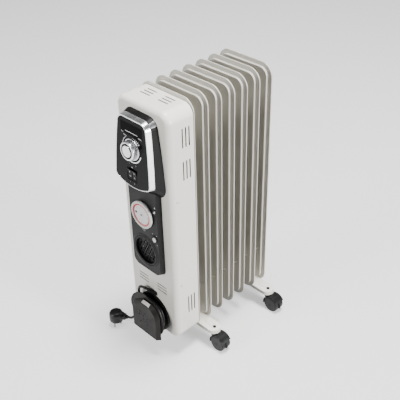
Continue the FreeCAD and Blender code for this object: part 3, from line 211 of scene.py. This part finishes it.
RED = surface("timer_red", (0.62, 0.012, 0.016), 0.34, blotch=0.05, grain=700, relief=0.08)
PRINT_GREY = surface("print_grey", (0.42, 0.42, 0.43), 0.5, blotch=0.05, grain=700, relief=0.05)
PRINT_LABEL = surface("label_grey", (0.56, 0.53, 0.52), 0.5, blotch=0.04, grain=700, relief=0.05)
PRINT_WHITE = surface("print_white", (0.80, 0.80, 0.80), 0.5, blotch=0.03, grain=700, relief=0.05)


# ---------------------------------------------------------------- building


def add(name, mesh, finish, body, slot=None, smooth=35.0):
    """Turn a bmesh into a piece that rides on a body."""
    bmesh.ops.recalc_face_normals(mesh, faces=mesh.faces)
    limit = math.radians(smooth)
    for face in mesh.faces:
        face.smooth = True
    for edge in mesh.edges:
        if len(edge.link_faces) == 2:
            edge.smooth = edge.calc_face_angle(0.0) < limit
    data = bpy.data.meshes.new(name)
    mesh.to_mesh(data)
    mesh.free()
    piece = bpy.data.objects.new(name, data)
    bpy.context.collection.objects.link(piece)
    data.materials.append(FINISH[finish] if isinstance(finish, str) else finish)
    weighted = piece.modifiers.new("flat_faces_stay_flat", "WEIGHTED_NORMAL")
    weighted.keep_sharp = True
    weighted.weight = 100
    if slot or isinstance(finish, str):
        slot or finish
    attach(piece, body)
    return piece


def refine(node, bevel=0.3, segments=2, angle=28.0, smooth=35.0):
    """A CAD node with its sharp edges softened, shown in its place. The bevel is in millimetres."""
    mesh = bmesh.new()
    mesh.from_mesh(frame["nodes"][node].data)
    bmesh.ops.remove_doubles(mesh, verts=mesh.verts, dist=2e-6)
    bmesh.ops.dissolve_limit(mesh, angle_limit=math.radians(0.4), verts=mesh.verts, edges=mesh.edges,
                             delimit={"NORMAL"})
    limit = math.radians(angle)
    sharp = [edge for edge in mesh.edges if len(edge.link_faces) == 2 and edge.calc_face_angle(0.0) > limit]
    if bevel > 0 and sharp:
        bmesh.ops.bevel(mesh, geom=sharp, offset=bevel * MM, segments=segments, affect="EDGES", profile=0.5,
                        clamp_overlap=True)
    piece = add(f"{node}_finished", mesh, SLOT_OF[node], BODY_OF[node], smooth=smooth)
    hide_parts(node)
    return piece


def frame_of(axis):
    """Two directions across an axis."""
    first = axis.cross(Z) if abs(axis.z) < 0.9 else axis.cross(X)
    first.normalize()
    return first, axis.cross(first).normalized()


def lathe(name, profile, origin, axis, finish, body, turns=64, slot=None, smooth=35.0):
    """A turned piece. The profile is (radius, distance along the axis) in millimetres."""
    mesh = bmesh.new()
    first, second = frame_of(axis)
    rings = []
    for radius, along in profile:
        centre = origin + axis * (along * MM)
        if radius < 1e-6:
            rings.append([mesh.verts.new(centre)])
            continue
        ring = []
        for step in range(turns):
            turn = 2 * math.pi * step / turns
            outwards = first * math.cos(turn) + second * math.sin(turn)
            ring.append(mesh.verts.new(centre + outwards * (radius * MM)))
        rings.append(ring)
    for low, high in zip(rings, rings[1:]):
        for step in range(turns):
            nxt = (step + 1) % turns
            corners = [low[step % len(low)], low[nxt % len(low)], high[nxt % len(high)],
                       high[step % len(high)]]
            unique = list(dict.fromkeys(corners))
            if len(unique) > 2:
                mesh.faces.new(unique)
    return add(name, mesh, finish, body, slot, smooth)


def slab(name, outline, place, thick, finish, body, bevel=0.0, slot=None):
    """A flat piece cut to an outline of (across, up) in millimetres, grown ahead by its thickness.

    The place is a function of (across, ahead, up).
    """
    mesh = bmesh.new()
    low = [mesh.verts.new(place(across, 0.0, up)) for across, up in outline]
    high = [mesh.verts.new(place(across, thick, up)) for across, up in outline]
    mesh.faces.new(list(reversed(low)))
    top = mesh.faces.new(high)
    for step in range(len(outline)):
        nxt = (step + 1) % len(outline)
        mesh.faces.new((low[step], low[nxt], high[nxt], high[step]))
    if bevel > 0:
        bmesh.ops.bevel(mesh, geom=list(top.edges), offset=bevel * MM, segments=2, affect="EDGES",
                        profile=0.5,
                        clamp_overlap=True)
    return add(name, mesh, finish, body, slot)


def arc(radius, start, end, count, centre=(0.0, 0.0)):
    """Points along an arc, in degrees from +X towards up."""
    points = []
    for step in range(count):
        turn = math.radians(start + (end - start) * step / (count - 1))
        points.append((centre[0] + radius * math.cos(turn), centre[1] + radius * math.sin(turn)))
    return points


def spoke(low, high, wide, angle):
    """The outline of a bar that points away from the centre, at an angle in degrees."""
    cos, sin = math.cos(math.radians(angle)), math.sin(math.radians(angle))
    return [(low * cos - wide * sin, low * sin + wide * cos),
            (low * cos + wide * sin, low * sin - wide * cos),
            (high * cos + wide * sin, high * sin - wide * cos),
            (high * cos - wide * sin, high * sin + wide * cos)]


def band(inner, outer, start, end, count, centre=(0.0, 0.0)):
    """The outline of a part of a ring."""
    return arc(outer, start, end, count, centre) + arc(inner, end, start, count, centre)


def bar(left, low, width, height):
    return [(left, low), (left + width, low), (left + width, low + height), (left, low + height)]


def upright(depth):
    """Places on an upright plane that faces -Y, at a depth in millimetres."""
    def place(across, ahead, up):
        return Vector((across, depth - ahead, up)) * MM
    return place


def leaning(depth=0.0):
    """Places on the console's face."""
    def place(across, ahead, up):
        return console(across, depth + ahead, up)
    return place


# ---------------------------------------------------------------- places

HOUSING_FRONT = -135.3
FASCIA_FRONT = -148.0
SPOOL_FLANGE = -156.5
PLATE_FRONT = -170.2
WINDER_HEIGHT = 97.0
TIMER_HEIGHT = 383.0

# ---------------------------------------------------------------- mains cord

GLAND_BASE = Vector((7.0, HOUSING_FRONT, 155.0))
GLAND_AXIS = Vector((-0.80, -0.46, 0.385)).normalized()
GLAND_TIP = GLAND_BASE + GLAND_AXIS * 21.0
PLUG_MIDDLE = Vector((-110.0, -172.0, 34.0))
PLUG_AXIS = Vector((-0.87, -0.49, 0.0)).normalized()
PLUG_ENTRY = PLUG_MIDDLE - PLUG_AXIS * 32.0
SPOOL = Vector((0.0, 0.0, WINDER_HEIGHT))
CORD = 6.4


def cord_route():
    """Out of the gland, round the spool in two rows of turns, and out to the plug."""
    route = [
        GLAND_TIP,
        GLAND_TIP + GLAND_AXIS * 9.0,
        Vector((-28.5, -150.6, 164.0)),
        Vector((-36.0, -149.6, 155.0)),
        Vector((-40.5, -147.6, 143.5)),
        Vector((-43.0, -145.2, 129.5)),
    ]
    outer, pitch, rear, front, per_turn = 44.2, 6.65, -143.3, -150.25, 20
    inward, across, outward = 3.0, 0.75, 3.0
    start = 166.0
    last = inward + across + outward + 0.30
    steps = int(last * per_turn)
    for step in range(steps + 1):
        turns = last * step / steps
        if turns < inward:
            radius, depth = outer - pitch * turns, rear
        elif turns < inward + across:
            share = (turns - inward) / across
            radius = outer - pitch * inward
            depth = rear + (front - rear) * (3 * share ** 2 - 2 * share ** 3)
        elif turns < inward + across + outward:
            radius, depth = outer - pitch * (inward + across + outward - turns), front
        else:
            radius, depth = outer, front
        turn = math.radians(start) + 2 * math.pi * turns
        route.append(Vector((radius * math.cos(turn), depth, radius * math.sin(turn))) + SPOOL)
    route += [
        Vector((-46.0, -151.4, 78.0)),
        Vector((-50.5, -152.6, 64.0)),
        Vector((-58.5, -154.2, 51.5)),
        Vector((-69.0, -154.6, 41.0)),
        PLUG_ENTRY - PLUG_AXIS * 10.5,
        PLUG_ENTRY,
    ]
    return route


def line_length(curve):
    """The length of a spline's line."""
    thin = curve.copy()
    thin.bevel_depth = 0.0
    probe = bpy.data.objects.new("probe", thin)
    line = bpy.data.meshes.new_from_object(probe)
    ends = [[line.vertices[rank].co for rank in edge.vertices] for edge in line.edges]
    total = sum((start - end).length for start, end in ends)
    bpy.data.objects.remove(probe)
    return total


def add_cord():
    curve = bpy.data.curves.new("mains_cord", "CURVE")
    curve.dimensions = "3D"
    curve.resolution_u = 6
    curve.bevel_depth = CORD / 2 * MM
    curve.bevel_resolution = 5
    curve.use_fill_caps = True
    spline = curve.splines.new("NURBS")
    route = cord_route()
    spline.points.add(len(route) - 1)
    for point, place in zip(spline.points, route):
        point.co = (*(place * MM), 1.0)
    spline.order_u = 3
    spline.use_endpoint_u = True
    curve.materials.append(FINISH["cord_black"])
    cord = bpy.data.objects.new("mains_cord", curve)
    bpy.context.collection.objects.link(cord)
    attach(cord, "heater")
    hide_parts("cord_lead_in", "cord_coil", "cord_lead_out")
    length = line_length(curve)
    print(f"cord length {length:.3f} m")
    return cord, length


cord, cord_length = add_cord()


def add_plug():
    """A round moulded plug with a ribbed neck, standing on its pins."""
    low = 19.0
    profile = [(0, 0), (15.4, 0), (16.7, 0.5), (17.3, 1.6), (17.5, 3.0), (17.5, 9.0), (17.0, 9.5),
               (17.0, 10.4),
               (17.5, 10.9), (17.4, 18.0), (16.9, 21.4), (15.6, 24.3), (13.3, 26.5), (10.4, 27.6),
               (6.0, 28.0),
               (0, 28.1)]
    body = lathe("plug_round", profile, Vector((-110.0, -172.0, low)) * MM, Z, "plug_black", "heater")
    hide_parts("plug_body")
    ribs = [(11.6, 4.0), (11.8, 12.0), (11.4, 15.6), (10.4, 18.6), (8.6, 21.2), (7.4, 22.4), (8.4, 22.8),
            (8.7, 23.6),
            (8.5, 25.2), (7.6, 25.8), (5.6, 26.0), (5.3, 27.2), (5.7, 27.4), (5.7, 28.2), (5.0, 28.4),
            (4.8, 29.4), (5.2, 29.6), (5.1, 30.4), (4.4, 30.6), (4.1, 32.0), (3.6, 32.0)]
    neck = lathe("plug_neck", ribs, PLUG_MIDDLE * MM, -PLUG_AXIS, "plug_black", "heater", turns=40)
    return [body, neck]


def gland_sleeve():
    """The ribbed sleeve that the cord comes out of."""
    profile = [(0.0, -3.0), (5.4, -3.0), (5.4, 2.2), (5.1, 2.6)]
    for step in range(6):
        along = 3.4 + 2.8 * step
        radius = 5.2 - 0.16 * step
        profile += [(radius - 0.7, along), (radius - 0.7, along + 0.7), (radius, along + 1.0),
                    (radius, along + 2.4)]
    profile += [(3.9, 20.4), (3.6, 21.0), (0.0, 21.0)]
    sleeve = lathe("cord_gland_finished", profile, GLAND_BASE * MM, GLAND_AXIS, SLOT_OF["cord_gland"],
                   "heater", turns=40)
    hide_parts("cord_gland")
    return sleeve


gland = gland_sleeve()
plug_pieces = add_plug()
pins = refine("plug_pins", 0.0)


# ---------------------------------------------------------------- CAD nodes, finished

SOFTENED = {
    "housing_shell": 0.25, "face_plate": 0.5, "trim_band": 0.7, "console_body": 0.9, "fascia": 0.8,
    "winder_drum": 0.5, "winder_plate": 0.9, "thermostat_knob": 0.3, "knob_cap": 0.0,
    "window_lens": 0.2, "power_switch_case": 0.25, "power_rocker_left": 0.5, "power_rocker_right": 0.5,
    "timer_dial": 0.3, "timer_tappets": 0.15, "timer_override": 0.2, "fan_grille": 0.3, "fan_rocker": 0.3,
    "fan_switch_case": 0.25, "foot_front": 0.5, "foot_rear": 0.5, "u_bolts": 0.0, "wing_nuts": 0.4,
    "header_plugs": 0.6, "housing_screws": 0.3, "housing_back_plate": 0.2, "header_collars": 0.4,
    "heating_element": 0.0, "pilot_lamp": 0.2, "thermostat_case": 0.5, "thermostat_shaft": 0.2,
    "timer_case": 0.5, "fan_duct": 0.2, "ptc_element": 0.2, "fan_motor": 0.3, "fan_rotor": 0.2,
    "tip_switch_case": 0.4, "tip_pendulum": 0.3,
}
for rank in range(1, 8):
    SOFTENED[f"fin_{rank}"] = 1.0
for end in ("front", "rear"):
    for way in ("left", "right"):
        SOFTENED[f"castor_{end}_{way}_fork"] = 0.5
        SOFTENED[f"castor_{end}_{way}_wheels"] = 0.0
for node, bevel in SOFTENED.items():
    refine(node, bevel)


# ---------------------------------------------------------------- prints and small parts

BLACK = "black_satin_plastic"


def printed(name, outline, place, finish, body="heater", thick=0.08):
    """Ink on a surface, a little proud of it."""
    return slab(name, outline, place, thick, finish, body)


def numeral(name, text, across, up, height, place, finish, body="heater", turn=0.0):
    """Small raised figures on a surface, centred at (across, up) in millimetres."""
    curve = bpy.data.curves.new(name, "FONT")
    curve.body = text
    curve.size = height * 1.35
    curve.align_x = "CENTER"
    curve.align_y = "CENTER"
    curve.extrude = 0.05
    flat = bpy.data.meshes.new_from_object(bpy.data.objects.new(f"{name}_probe", curve))
    mesh = bmesh.new()
    mesh.from_mesh(flat)
    cos, sin = math.cos(math.radians(turn)), math.sin(math.radians(turn))
    for vert in mesh.verts:
        left, high, out = vert.co
        vert.co = place(across + left * cos - high * sin, 0.05 + out, up + left * sin + high * cos)
    return add(name, mesh, finish, body)


def console_prints():
    """The scale round the knob, the line under the window and the marks by the switches."""
    face = leaning()
    ring = []
    for step in range(45):
        turn = 128.0 + 217.0 * step / 44
        width = 0.7 + 1.7 * step / 44
        ring.append((28.6 + width / 2, turn))
    for step in range(44, -1, -1):
        turn = 128.0 + 217.0 * step / 44
        width = 0.7 + 1.7 * step / 44
        ring.append((28.6 - width / 2, turn))
    outline = [(r * math.cos(math.radians(t)), 4.0 + r * math.sin(math.radians(t))) for r, t in ring]
    printed("knob_scale", outline, face, "satin_silver")
    printed("window_line", bar(-19.5, 39.6, 38.5, 1.2), face, PRINT_WHITE)
    printed("scale_tick_left", [(-32.0, 35.0), (-26.0, 33.0), (-25.6, 34.6), (-31.6, 37.4)], face,
            PRINT_GREY)
    printed("scale_tick_low", [(-25.0, 29.2), (-15.0, 28.0), (-14.6, 29.8), (-24.6, 31.4)], face, PRINT_GREY)
    printed("scale_tick_right", [(20.5, 35.0), (30.0, 34.2), (30.4, 36.6), (20.9, 37.4)], face, PRINT_GREY)
    for step in range(6):
        turn = 84.0 - 9.0 * step
        corners = spoke(25.0, 26.2 + 0.9 * step, 0.55 + 0.08 * step, turn)
        printed(f"heat_bar_{step + 1}", [(x, z + 4.0) for x, z in corners], face, PRINT_WHITE)
    for step, (across, up) in enumerate(((-24.0, -16.5), (-8.0, -28.5), (10.0, -27.5))):
        numeral(f"scale_figure_{step + 1}", str(step + 1), across * 1.16, 4.0 + (up - 4.0) * 1.08, 3.2, face,
                PRINT_GREY)
    printed("switch_mark_top", bar(-2.6, -37.6, 5.2, 1.0), face, PRINT_WHITE)
    numeral("switch_figure_low_left", "1", -6.6, -72.6, 3.4, face, PRINT_GREY)
    numeral("switch_figure_low_right", "2", 6.6, -72.6, 3.4, face, PRINT_GREY)


def rocker_marks():
    """A bar and a ring on each power rocker."""
    tip = math.radians(8.0)
    for side, across in (("left", -6.8), ("right", 6.8)):
        def place(x, ahead, up, middle=across):
            return console(middle + x, 0.75 + ahead + up * math.sin(tip), -54.0 + up * math.cos(tip))
        body = f"power_rocker_{side}"
        printed(f"{body}_bar", bar(-0.45, 3.4, 0.9, 4.6), place, PRINT_WHITE, body, 0.12)
        printed(f"{body}_ring", band(1.35, 2.05, 0, 350, 24, (0.0, -5.6)), place, PRINT_WHITE, body, 0.12)


def knob_parts():
    """The black ring round the cap, and the knob's pointer."""
    origin, ahead = console(0, 0, 4), AHEAD
    lathe("knob_black_ring",
          [(12.7, 12.0), (12.7, 13.55), (13.2, 13.78), (16.3, 13.78), (16.8, 13.6), (16.8, 12.9)],
          origin, ahead, "black_satin_plastic", "knob", turns=72)

    def rim(across, out, up):
        return console(across, 13.56 + out, 4 + up)
    printed("knob_pointer", bar(-0.7, 16.9, 1.4, 1.3), rim, "black_gloss_plastic", "knob", 0.1)
    lathe("knob_skirt", [(20.9, 0.2), (22.8, 0.2), (23.2, 0.5), (23.0, 1.0), (22.4, 1.3), (21.0, 1.5)],
          origin, ahead, "satin_silver", "heater", turns=96)


def timer_parts():
    """The dial's red ring and figures, and the marks beside it."""
    centre = Vector((0.0, FASCIA_FRONT, TIMER_HEIGHT)) * MM
    lathe("timer_red_ring", [(23.0, 5.3), (23.0, 5.52), (25.3, 5.52), (25.85, 5.0), (25.85, 2.4)], centre,
          -Y, RED, "timer_dial", turns=96)
    lathe("timer_red_edge", [(26.2, 6.6), (26.2, 6.86), (27.3, 6.86), (27.3, 6.6)], centre, -Y, RED,
          "timer_dial",
          turns=96)
    lathe("timer_hub", [(2.5, 5.3), (2.5, 6.0), (6.2, 6.0), (7.0, 5.9), (7.4, 5.3)], centre, -Y,
          "white_plastic", "timer_dial",
          turns=48)
    face = upright(-153.42)

    def dial(across, ahead, up):
        return face(across, ahead, TIMER_HEIGHT + up)
    def edge(across, ahead, up):
        return face(across, ahead + 1.3, TIMER_HEIGHT + up)
    dot = arc(3.0, 0, 345, 24, (-17.2, 1.0))
    printed("timer_dot", dot, dial, "black_gloss_plastic", "timer_dial", 0.2)
    for hour in range(8):
        turn = math.radians(90.0 - 45.0 * hour)
        reach = 19.6
        if hour == 6:
            continue
        numeral(f"timer_figure_{hour * 3}", str(hour * 3), reach * math.cos(turn), reach * math.sin(turn),
                3.4, dial,
                PRINT_GREY, "timer_dial", turn=-45.0 * hour)
    for step in range(24):
        corners = spoke(28.3, 31.4, 0.3, 15.0 * step)
        printed(f"timer_tick_{step + 1}", corners, edge, PRINT_GREY, "timer_dial")
    wall = upright(FASCIA_FRONT)
    printed("timer_pointer", [(36.9, 414.6), (41.1, 414.6), (39.0, 418.4)], wall, PRINT_WHITE)
    printed("timer_icon_ring", band(3.4, 4.2, 90, 435, 28, (-2.0, 341.0)), wall, PRINT_GREY)
    printed("timer_icon_hand", [(-2.4, 341.0), (-1.6, 341.0), (-1.6, 343.8), (-2.4, 343.8)], wall,
            PRINT_GREY)
    printed("timer_icon_other_hand", [(-2.4, 340.6), (0.4, 339.4), (0.7, 340.1), (-2.0, 341.3)], wall,
            PRINT_GREY)


def fan_parts():
    """The ring round the fan's button, its marks, and the moulded rim round the grille."""
    wall = upright(FASCIA_FRONT)
    origin = Vector((33.0, FASCIA_FRONT, 331.0)) * MM
    lathe("fan_button_ring", [(8.3, 0.0), (8.3, 1.2), (8.7, 1.5), (9.6, 1.3), (10.4, 0.5), (10.6, 0.0)],
          origin, -Y, BLACK, "heater", turns=64)
    for step, turn in enumerate((118.0, 62.0, -62.0)):
        place = (33.0 + 14.2 * math.cos(math.radians(turn)), 331.0 + 14.2 * math.sin(math.radians(turn)))
        printed(f"fan_mark_{step + 1}", arc(1.1, 0, 330, 12, place), wall, PRINT_GREY)
    grille = Vector((0.0, FASCIA_FRONT, 284.0)) * MM
    lathe("grille_rim", [(37.4, 0.0), (37.6, 0.9), (38.6, 1.3), (40.0, 1.2), (42.0, 0.6), (44.0, 0.0)],
          grille, -Y, BLACK, "heater", turns=120)


def skin(name, rows, finish, body="heater", thick=0.3):
    """A thin piece that follows a grid of (place, outward direction), in millimetres."""
    mesh = bmesh.new()
    layers = []
    for lift in (-0.2, thick):
        layers.append([[mesh.verts.new((place + out * lift) * MM) for place, out in row] for row in rows])
    low, high = layers
    count, width = len(rows), len(rows[0])
    for layer in layers:
        for row in range(count - 1):
            for step in range(width - 1):
                mesh.faces.new((layer[row][step], layer[row][step + 1], layer[row + 1][step + 1],
                                layer[row + 1][step]))
    rim = [(0, step) for step in range(width)]
    rim += [(row, width - 1) for row in range(1, count)]
    rim += [(count - 1, step) for step in range(width - 2, -1, -1)]
    rim += [(row, 0) for row in range(count - 2, 0, -1)]
    for (row, step), (next_row, next_step) in zip(rim, rim[1:] + rim[:1]):
        mesh.faces.new((low[row][step], low[next_row][next_step], high[next_row][next_step],
                        high[row][step]))
    return add(name, mesh, finish, body)


def console_inlay():
    """The satin strip across the black side of the console, at its upper right corner."""
    rows = []
    for part in range(6):
        ahead = -12.4 - 13.0 * part / 5
        grow = 4.3 + 9.7 * (-ahead - 12.0) / 28.0
        corner = 15.0 + grow * 1.2
        across, up = 42.0 + grow - corner, 68.0 + grow * 1.4 - corner
        row = []
        for step in range(9):
            turn = math.radians(23.0 + 29.0 * step / 8)
            out = (X * math.cos(turn) + ABOVE * math.sin(turn) + AHEAD * 0.35).normalized()
            place = CONSOLE + X * (across + corner * math.cos(turn)) + AHEAD * ahead
            row.append((place + ABOVE * (up + corner * math.sin(turn)), out))
        rows.append(row)
    skin("console_inlay", rows, "satin_silver", thick=0.35)


def spool_rim():
    """The spool's front flange, with a broad round lobe over the place where the cord comes in."""
    outline = []
    for step in range(120):
        angle = 3.0 * step
        rise = min(max((angle - 78.0) / 24.0, 0.0), 1.0)
        fall = min(max((196.0 - angle) / 24.0, 0.0), 1.0)
        lobe = rise * rise * (3 - 2 * rise) * fall * fall * (3 - 2 * fall)
        radius = 55.0 + 6.0 * lobe
        turn = math.radians(angle)
        outline.append((radius * math.cos(turn), WINDER_HEIGHT + radius * math.sin(turn)))
    black = SLOT_OF["winder_flange"]
    rim = slab("winder_flange_finished", outline, upright(SPOOL_FLANGE), 2.5, black, "heater", bevel=0.9)
    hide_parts("winder_flange")
    hub = [(0.0, 2.0), (26.0, 2.0), (26.0, 4.2), (25.6, 4.5), (0.0, 4.5)]
    lathe("winder_hub", hub, Vector((0.0, SPOOL_FLANGE, WINDER_HEIGHT)) * MM, -Y, black, "heater")


def winder_label():
    """The blank label on the bevel over the winder's plate."""
    out = Vector((0.0, -6.5, 9.2)).normalized()
    rows = []
    for share in (0.14, 0.5, 0.86):
        row = []
        for step in range(17):
            across = -7.0 + 25.0 * step / 16
            front = 11.0 + math.sqrt(900.0 - max(across - 11.0, 0.0) ** 2)
            rear = 17.5 + math.sqrt(900.0 - max(across - 17.5, 0.0) ** 2)
            height = WINDER_HEIGHT + front + (rear - front) * share
            row.append((Vector((across, PLATE_FRONT + 9.2 * share, height)), out))
        rows.append(row)
    skin("winder_label", rows, PRINT_LABEL, thick=0.3)


def vent_shade_sheets():
    """Black sheets just inside the vents: painted shade, dark pieces standing in for the shade inside the
    housing.
    """
    def under_lid(across, ahead, up):
        return Vector((across, up, 637.2 + ahead)) * MM
    for side, left in (("left", -45.0), ("right", 9.0)):
        slab(f"vent_screen_top_{side}", bar(left, -104.0, 36.0, 28.0), under_lid, 0.5, "black_matte_plastic",
             "heater")
    for side, sign in (("left", -1), ("right", 1)):
        def flank(across, ahead, up, sign=sign):
            return Vector((sign * (75.9 + ahead), across, up)) * MM
        for rank, (low, tall) in enumerate(((554.0, 45.0), (479.0, 45.0), (116.0, 50.0))):
            slab(f"vent_screen_{side}_{rank + 1}", bar(-104.0, low - 4.0, 28.0, tall + 8.0), flank, 0.5,
                 "black_matte_plastic", "heater")
    for side, left in (("left", -50.0), ("right", 12.0)):
        slab(f"vent_screen_front_{side}", bar(left, 169.0, 38.0, 28.0), upright(-132.6), 0.5,
             "black_matte_plastic", "heater")


def foot_ribs():
    """A pressed rib on each end of each foot."""
    for end, level in (("front", -45.25), ("rear", 147.25)):
        for way, side in (("left", -1), ("right", 1)):
            rows = []
            for ring, lift in ((1.0, 0.0), (0.86, 0.9), (0.62, 1.5), (0.0, 1.7)):
                row = []
                for step in range(33):
                    turn = 2 * math.pi * step / 32
                    middle = side * 90.0 + (7.0 if math.cos(turn) >= 0 else -7.0)
                    across, along = 5.0 * ring * math.cos(turn), 5.0 * ring * math.sin(turn)
                    row.append(Vector((middle + across, level + along, 54.5 + lift)) * MM)
                rows.append(row)
            mesh = bmesh.new()
            grid = [[mesh.verts.new(place) for place in row[:-1]] for row in rows]
            for low, high in zip(grid, grid[1:]):
                for step in range(32):
                    nxt = (step + 1) % 32
                    mesh.faces.new((low[step], low[nxt], high[nxt], high[step]))
            bmesh.ops.remove_doubles(mesh, verts=mesh.verts, dist=1e-6)
            add(f"foot_rib_{end}_{way}", mesh, "cream_enamel", "heater")


console_prints()
rocker_marks()
knob_parts()
timer_parts()
fan_parts()
console_inlay()
spool_rim()
winder_label()
vent_shade_sheets()
foot_ribs()


# ---------------------------------------------------------------- stage


def add_stage():
    """A plain pale floor that glows a little, seen by the camera and in reflections only."""
    mesh = bmesh.new()
    reach = 9.0
    places = ((-reach, -reach), (reach, -reach), (reach, reach), (-reach, reach))
    mesh.faces.new([mesh.verts.new((x, y, 0.0)) for x, y in places])
    data = bpy.data.meshes.new("floor")
    mesh.to_mesh(data)
    mesh.free()
    floor = bpy.data.objects.new("floor", data)
    bpy.context.collection.objects.link(floor)
    pale = surface("floor_pale", (0.66, 0.66, 0.66), 0.75, blotch=0.004, smudge=0.02, grain=300, relief=0.02)
    shader = pale.node_tree.nodes["Principled BSDF"]
    shader.inputs["Emission Color"].default_value = (1.0, 1.0, 1.0, 1.0)
    shader.inputs["Emission Strength"].default_value = 0.60
    data.materials.append(pale)
    floor.visible_diffuse = False


def area_light(name, place, target, size, power):
    """A square lamp at a place in metres, turned to its target."""
    data = bpy.data.lights.new(name, "AREA")
    data.shape = "SQUARE"
    data.size = size
    data.energy = power
    lamp = bpy.data.objects.new(name, data)
    lamp.location = place
    lamp.rotation_euler = (Vector(target) - Vector(place)).to_track_quat("-Z", "Y").to_euler()
    bpy.context.collection.objects.link(lamp)


def add_lights():
    """Three soft lamps along the heater's own axes, and a faint even sky."""
    middle = (0.0, 0.0, 0.32)
    area_light("front", (-0.7, -3.0, 1.5), middle, 1.2, 85.0)
    area_light("side", (3.3, 0.55, 0.95), middle, 0.6, 200.0)
    area_light("above", (0.3, 0.2, 3.4), middle, 0.8, 215.0)
    world = bpy.data.worlds.new("studio")
    world.use_nodes = True
    world.node_tree.nodes["Background"].inputs["Color"].default_value = (1.0, 1.0, 1.0, 1.0)
    world.node_tree.nodes["Background"].inputs["Strength"].default_value = 0.16
    bpy.context.scene.world = world


add_stage()
add_lights()
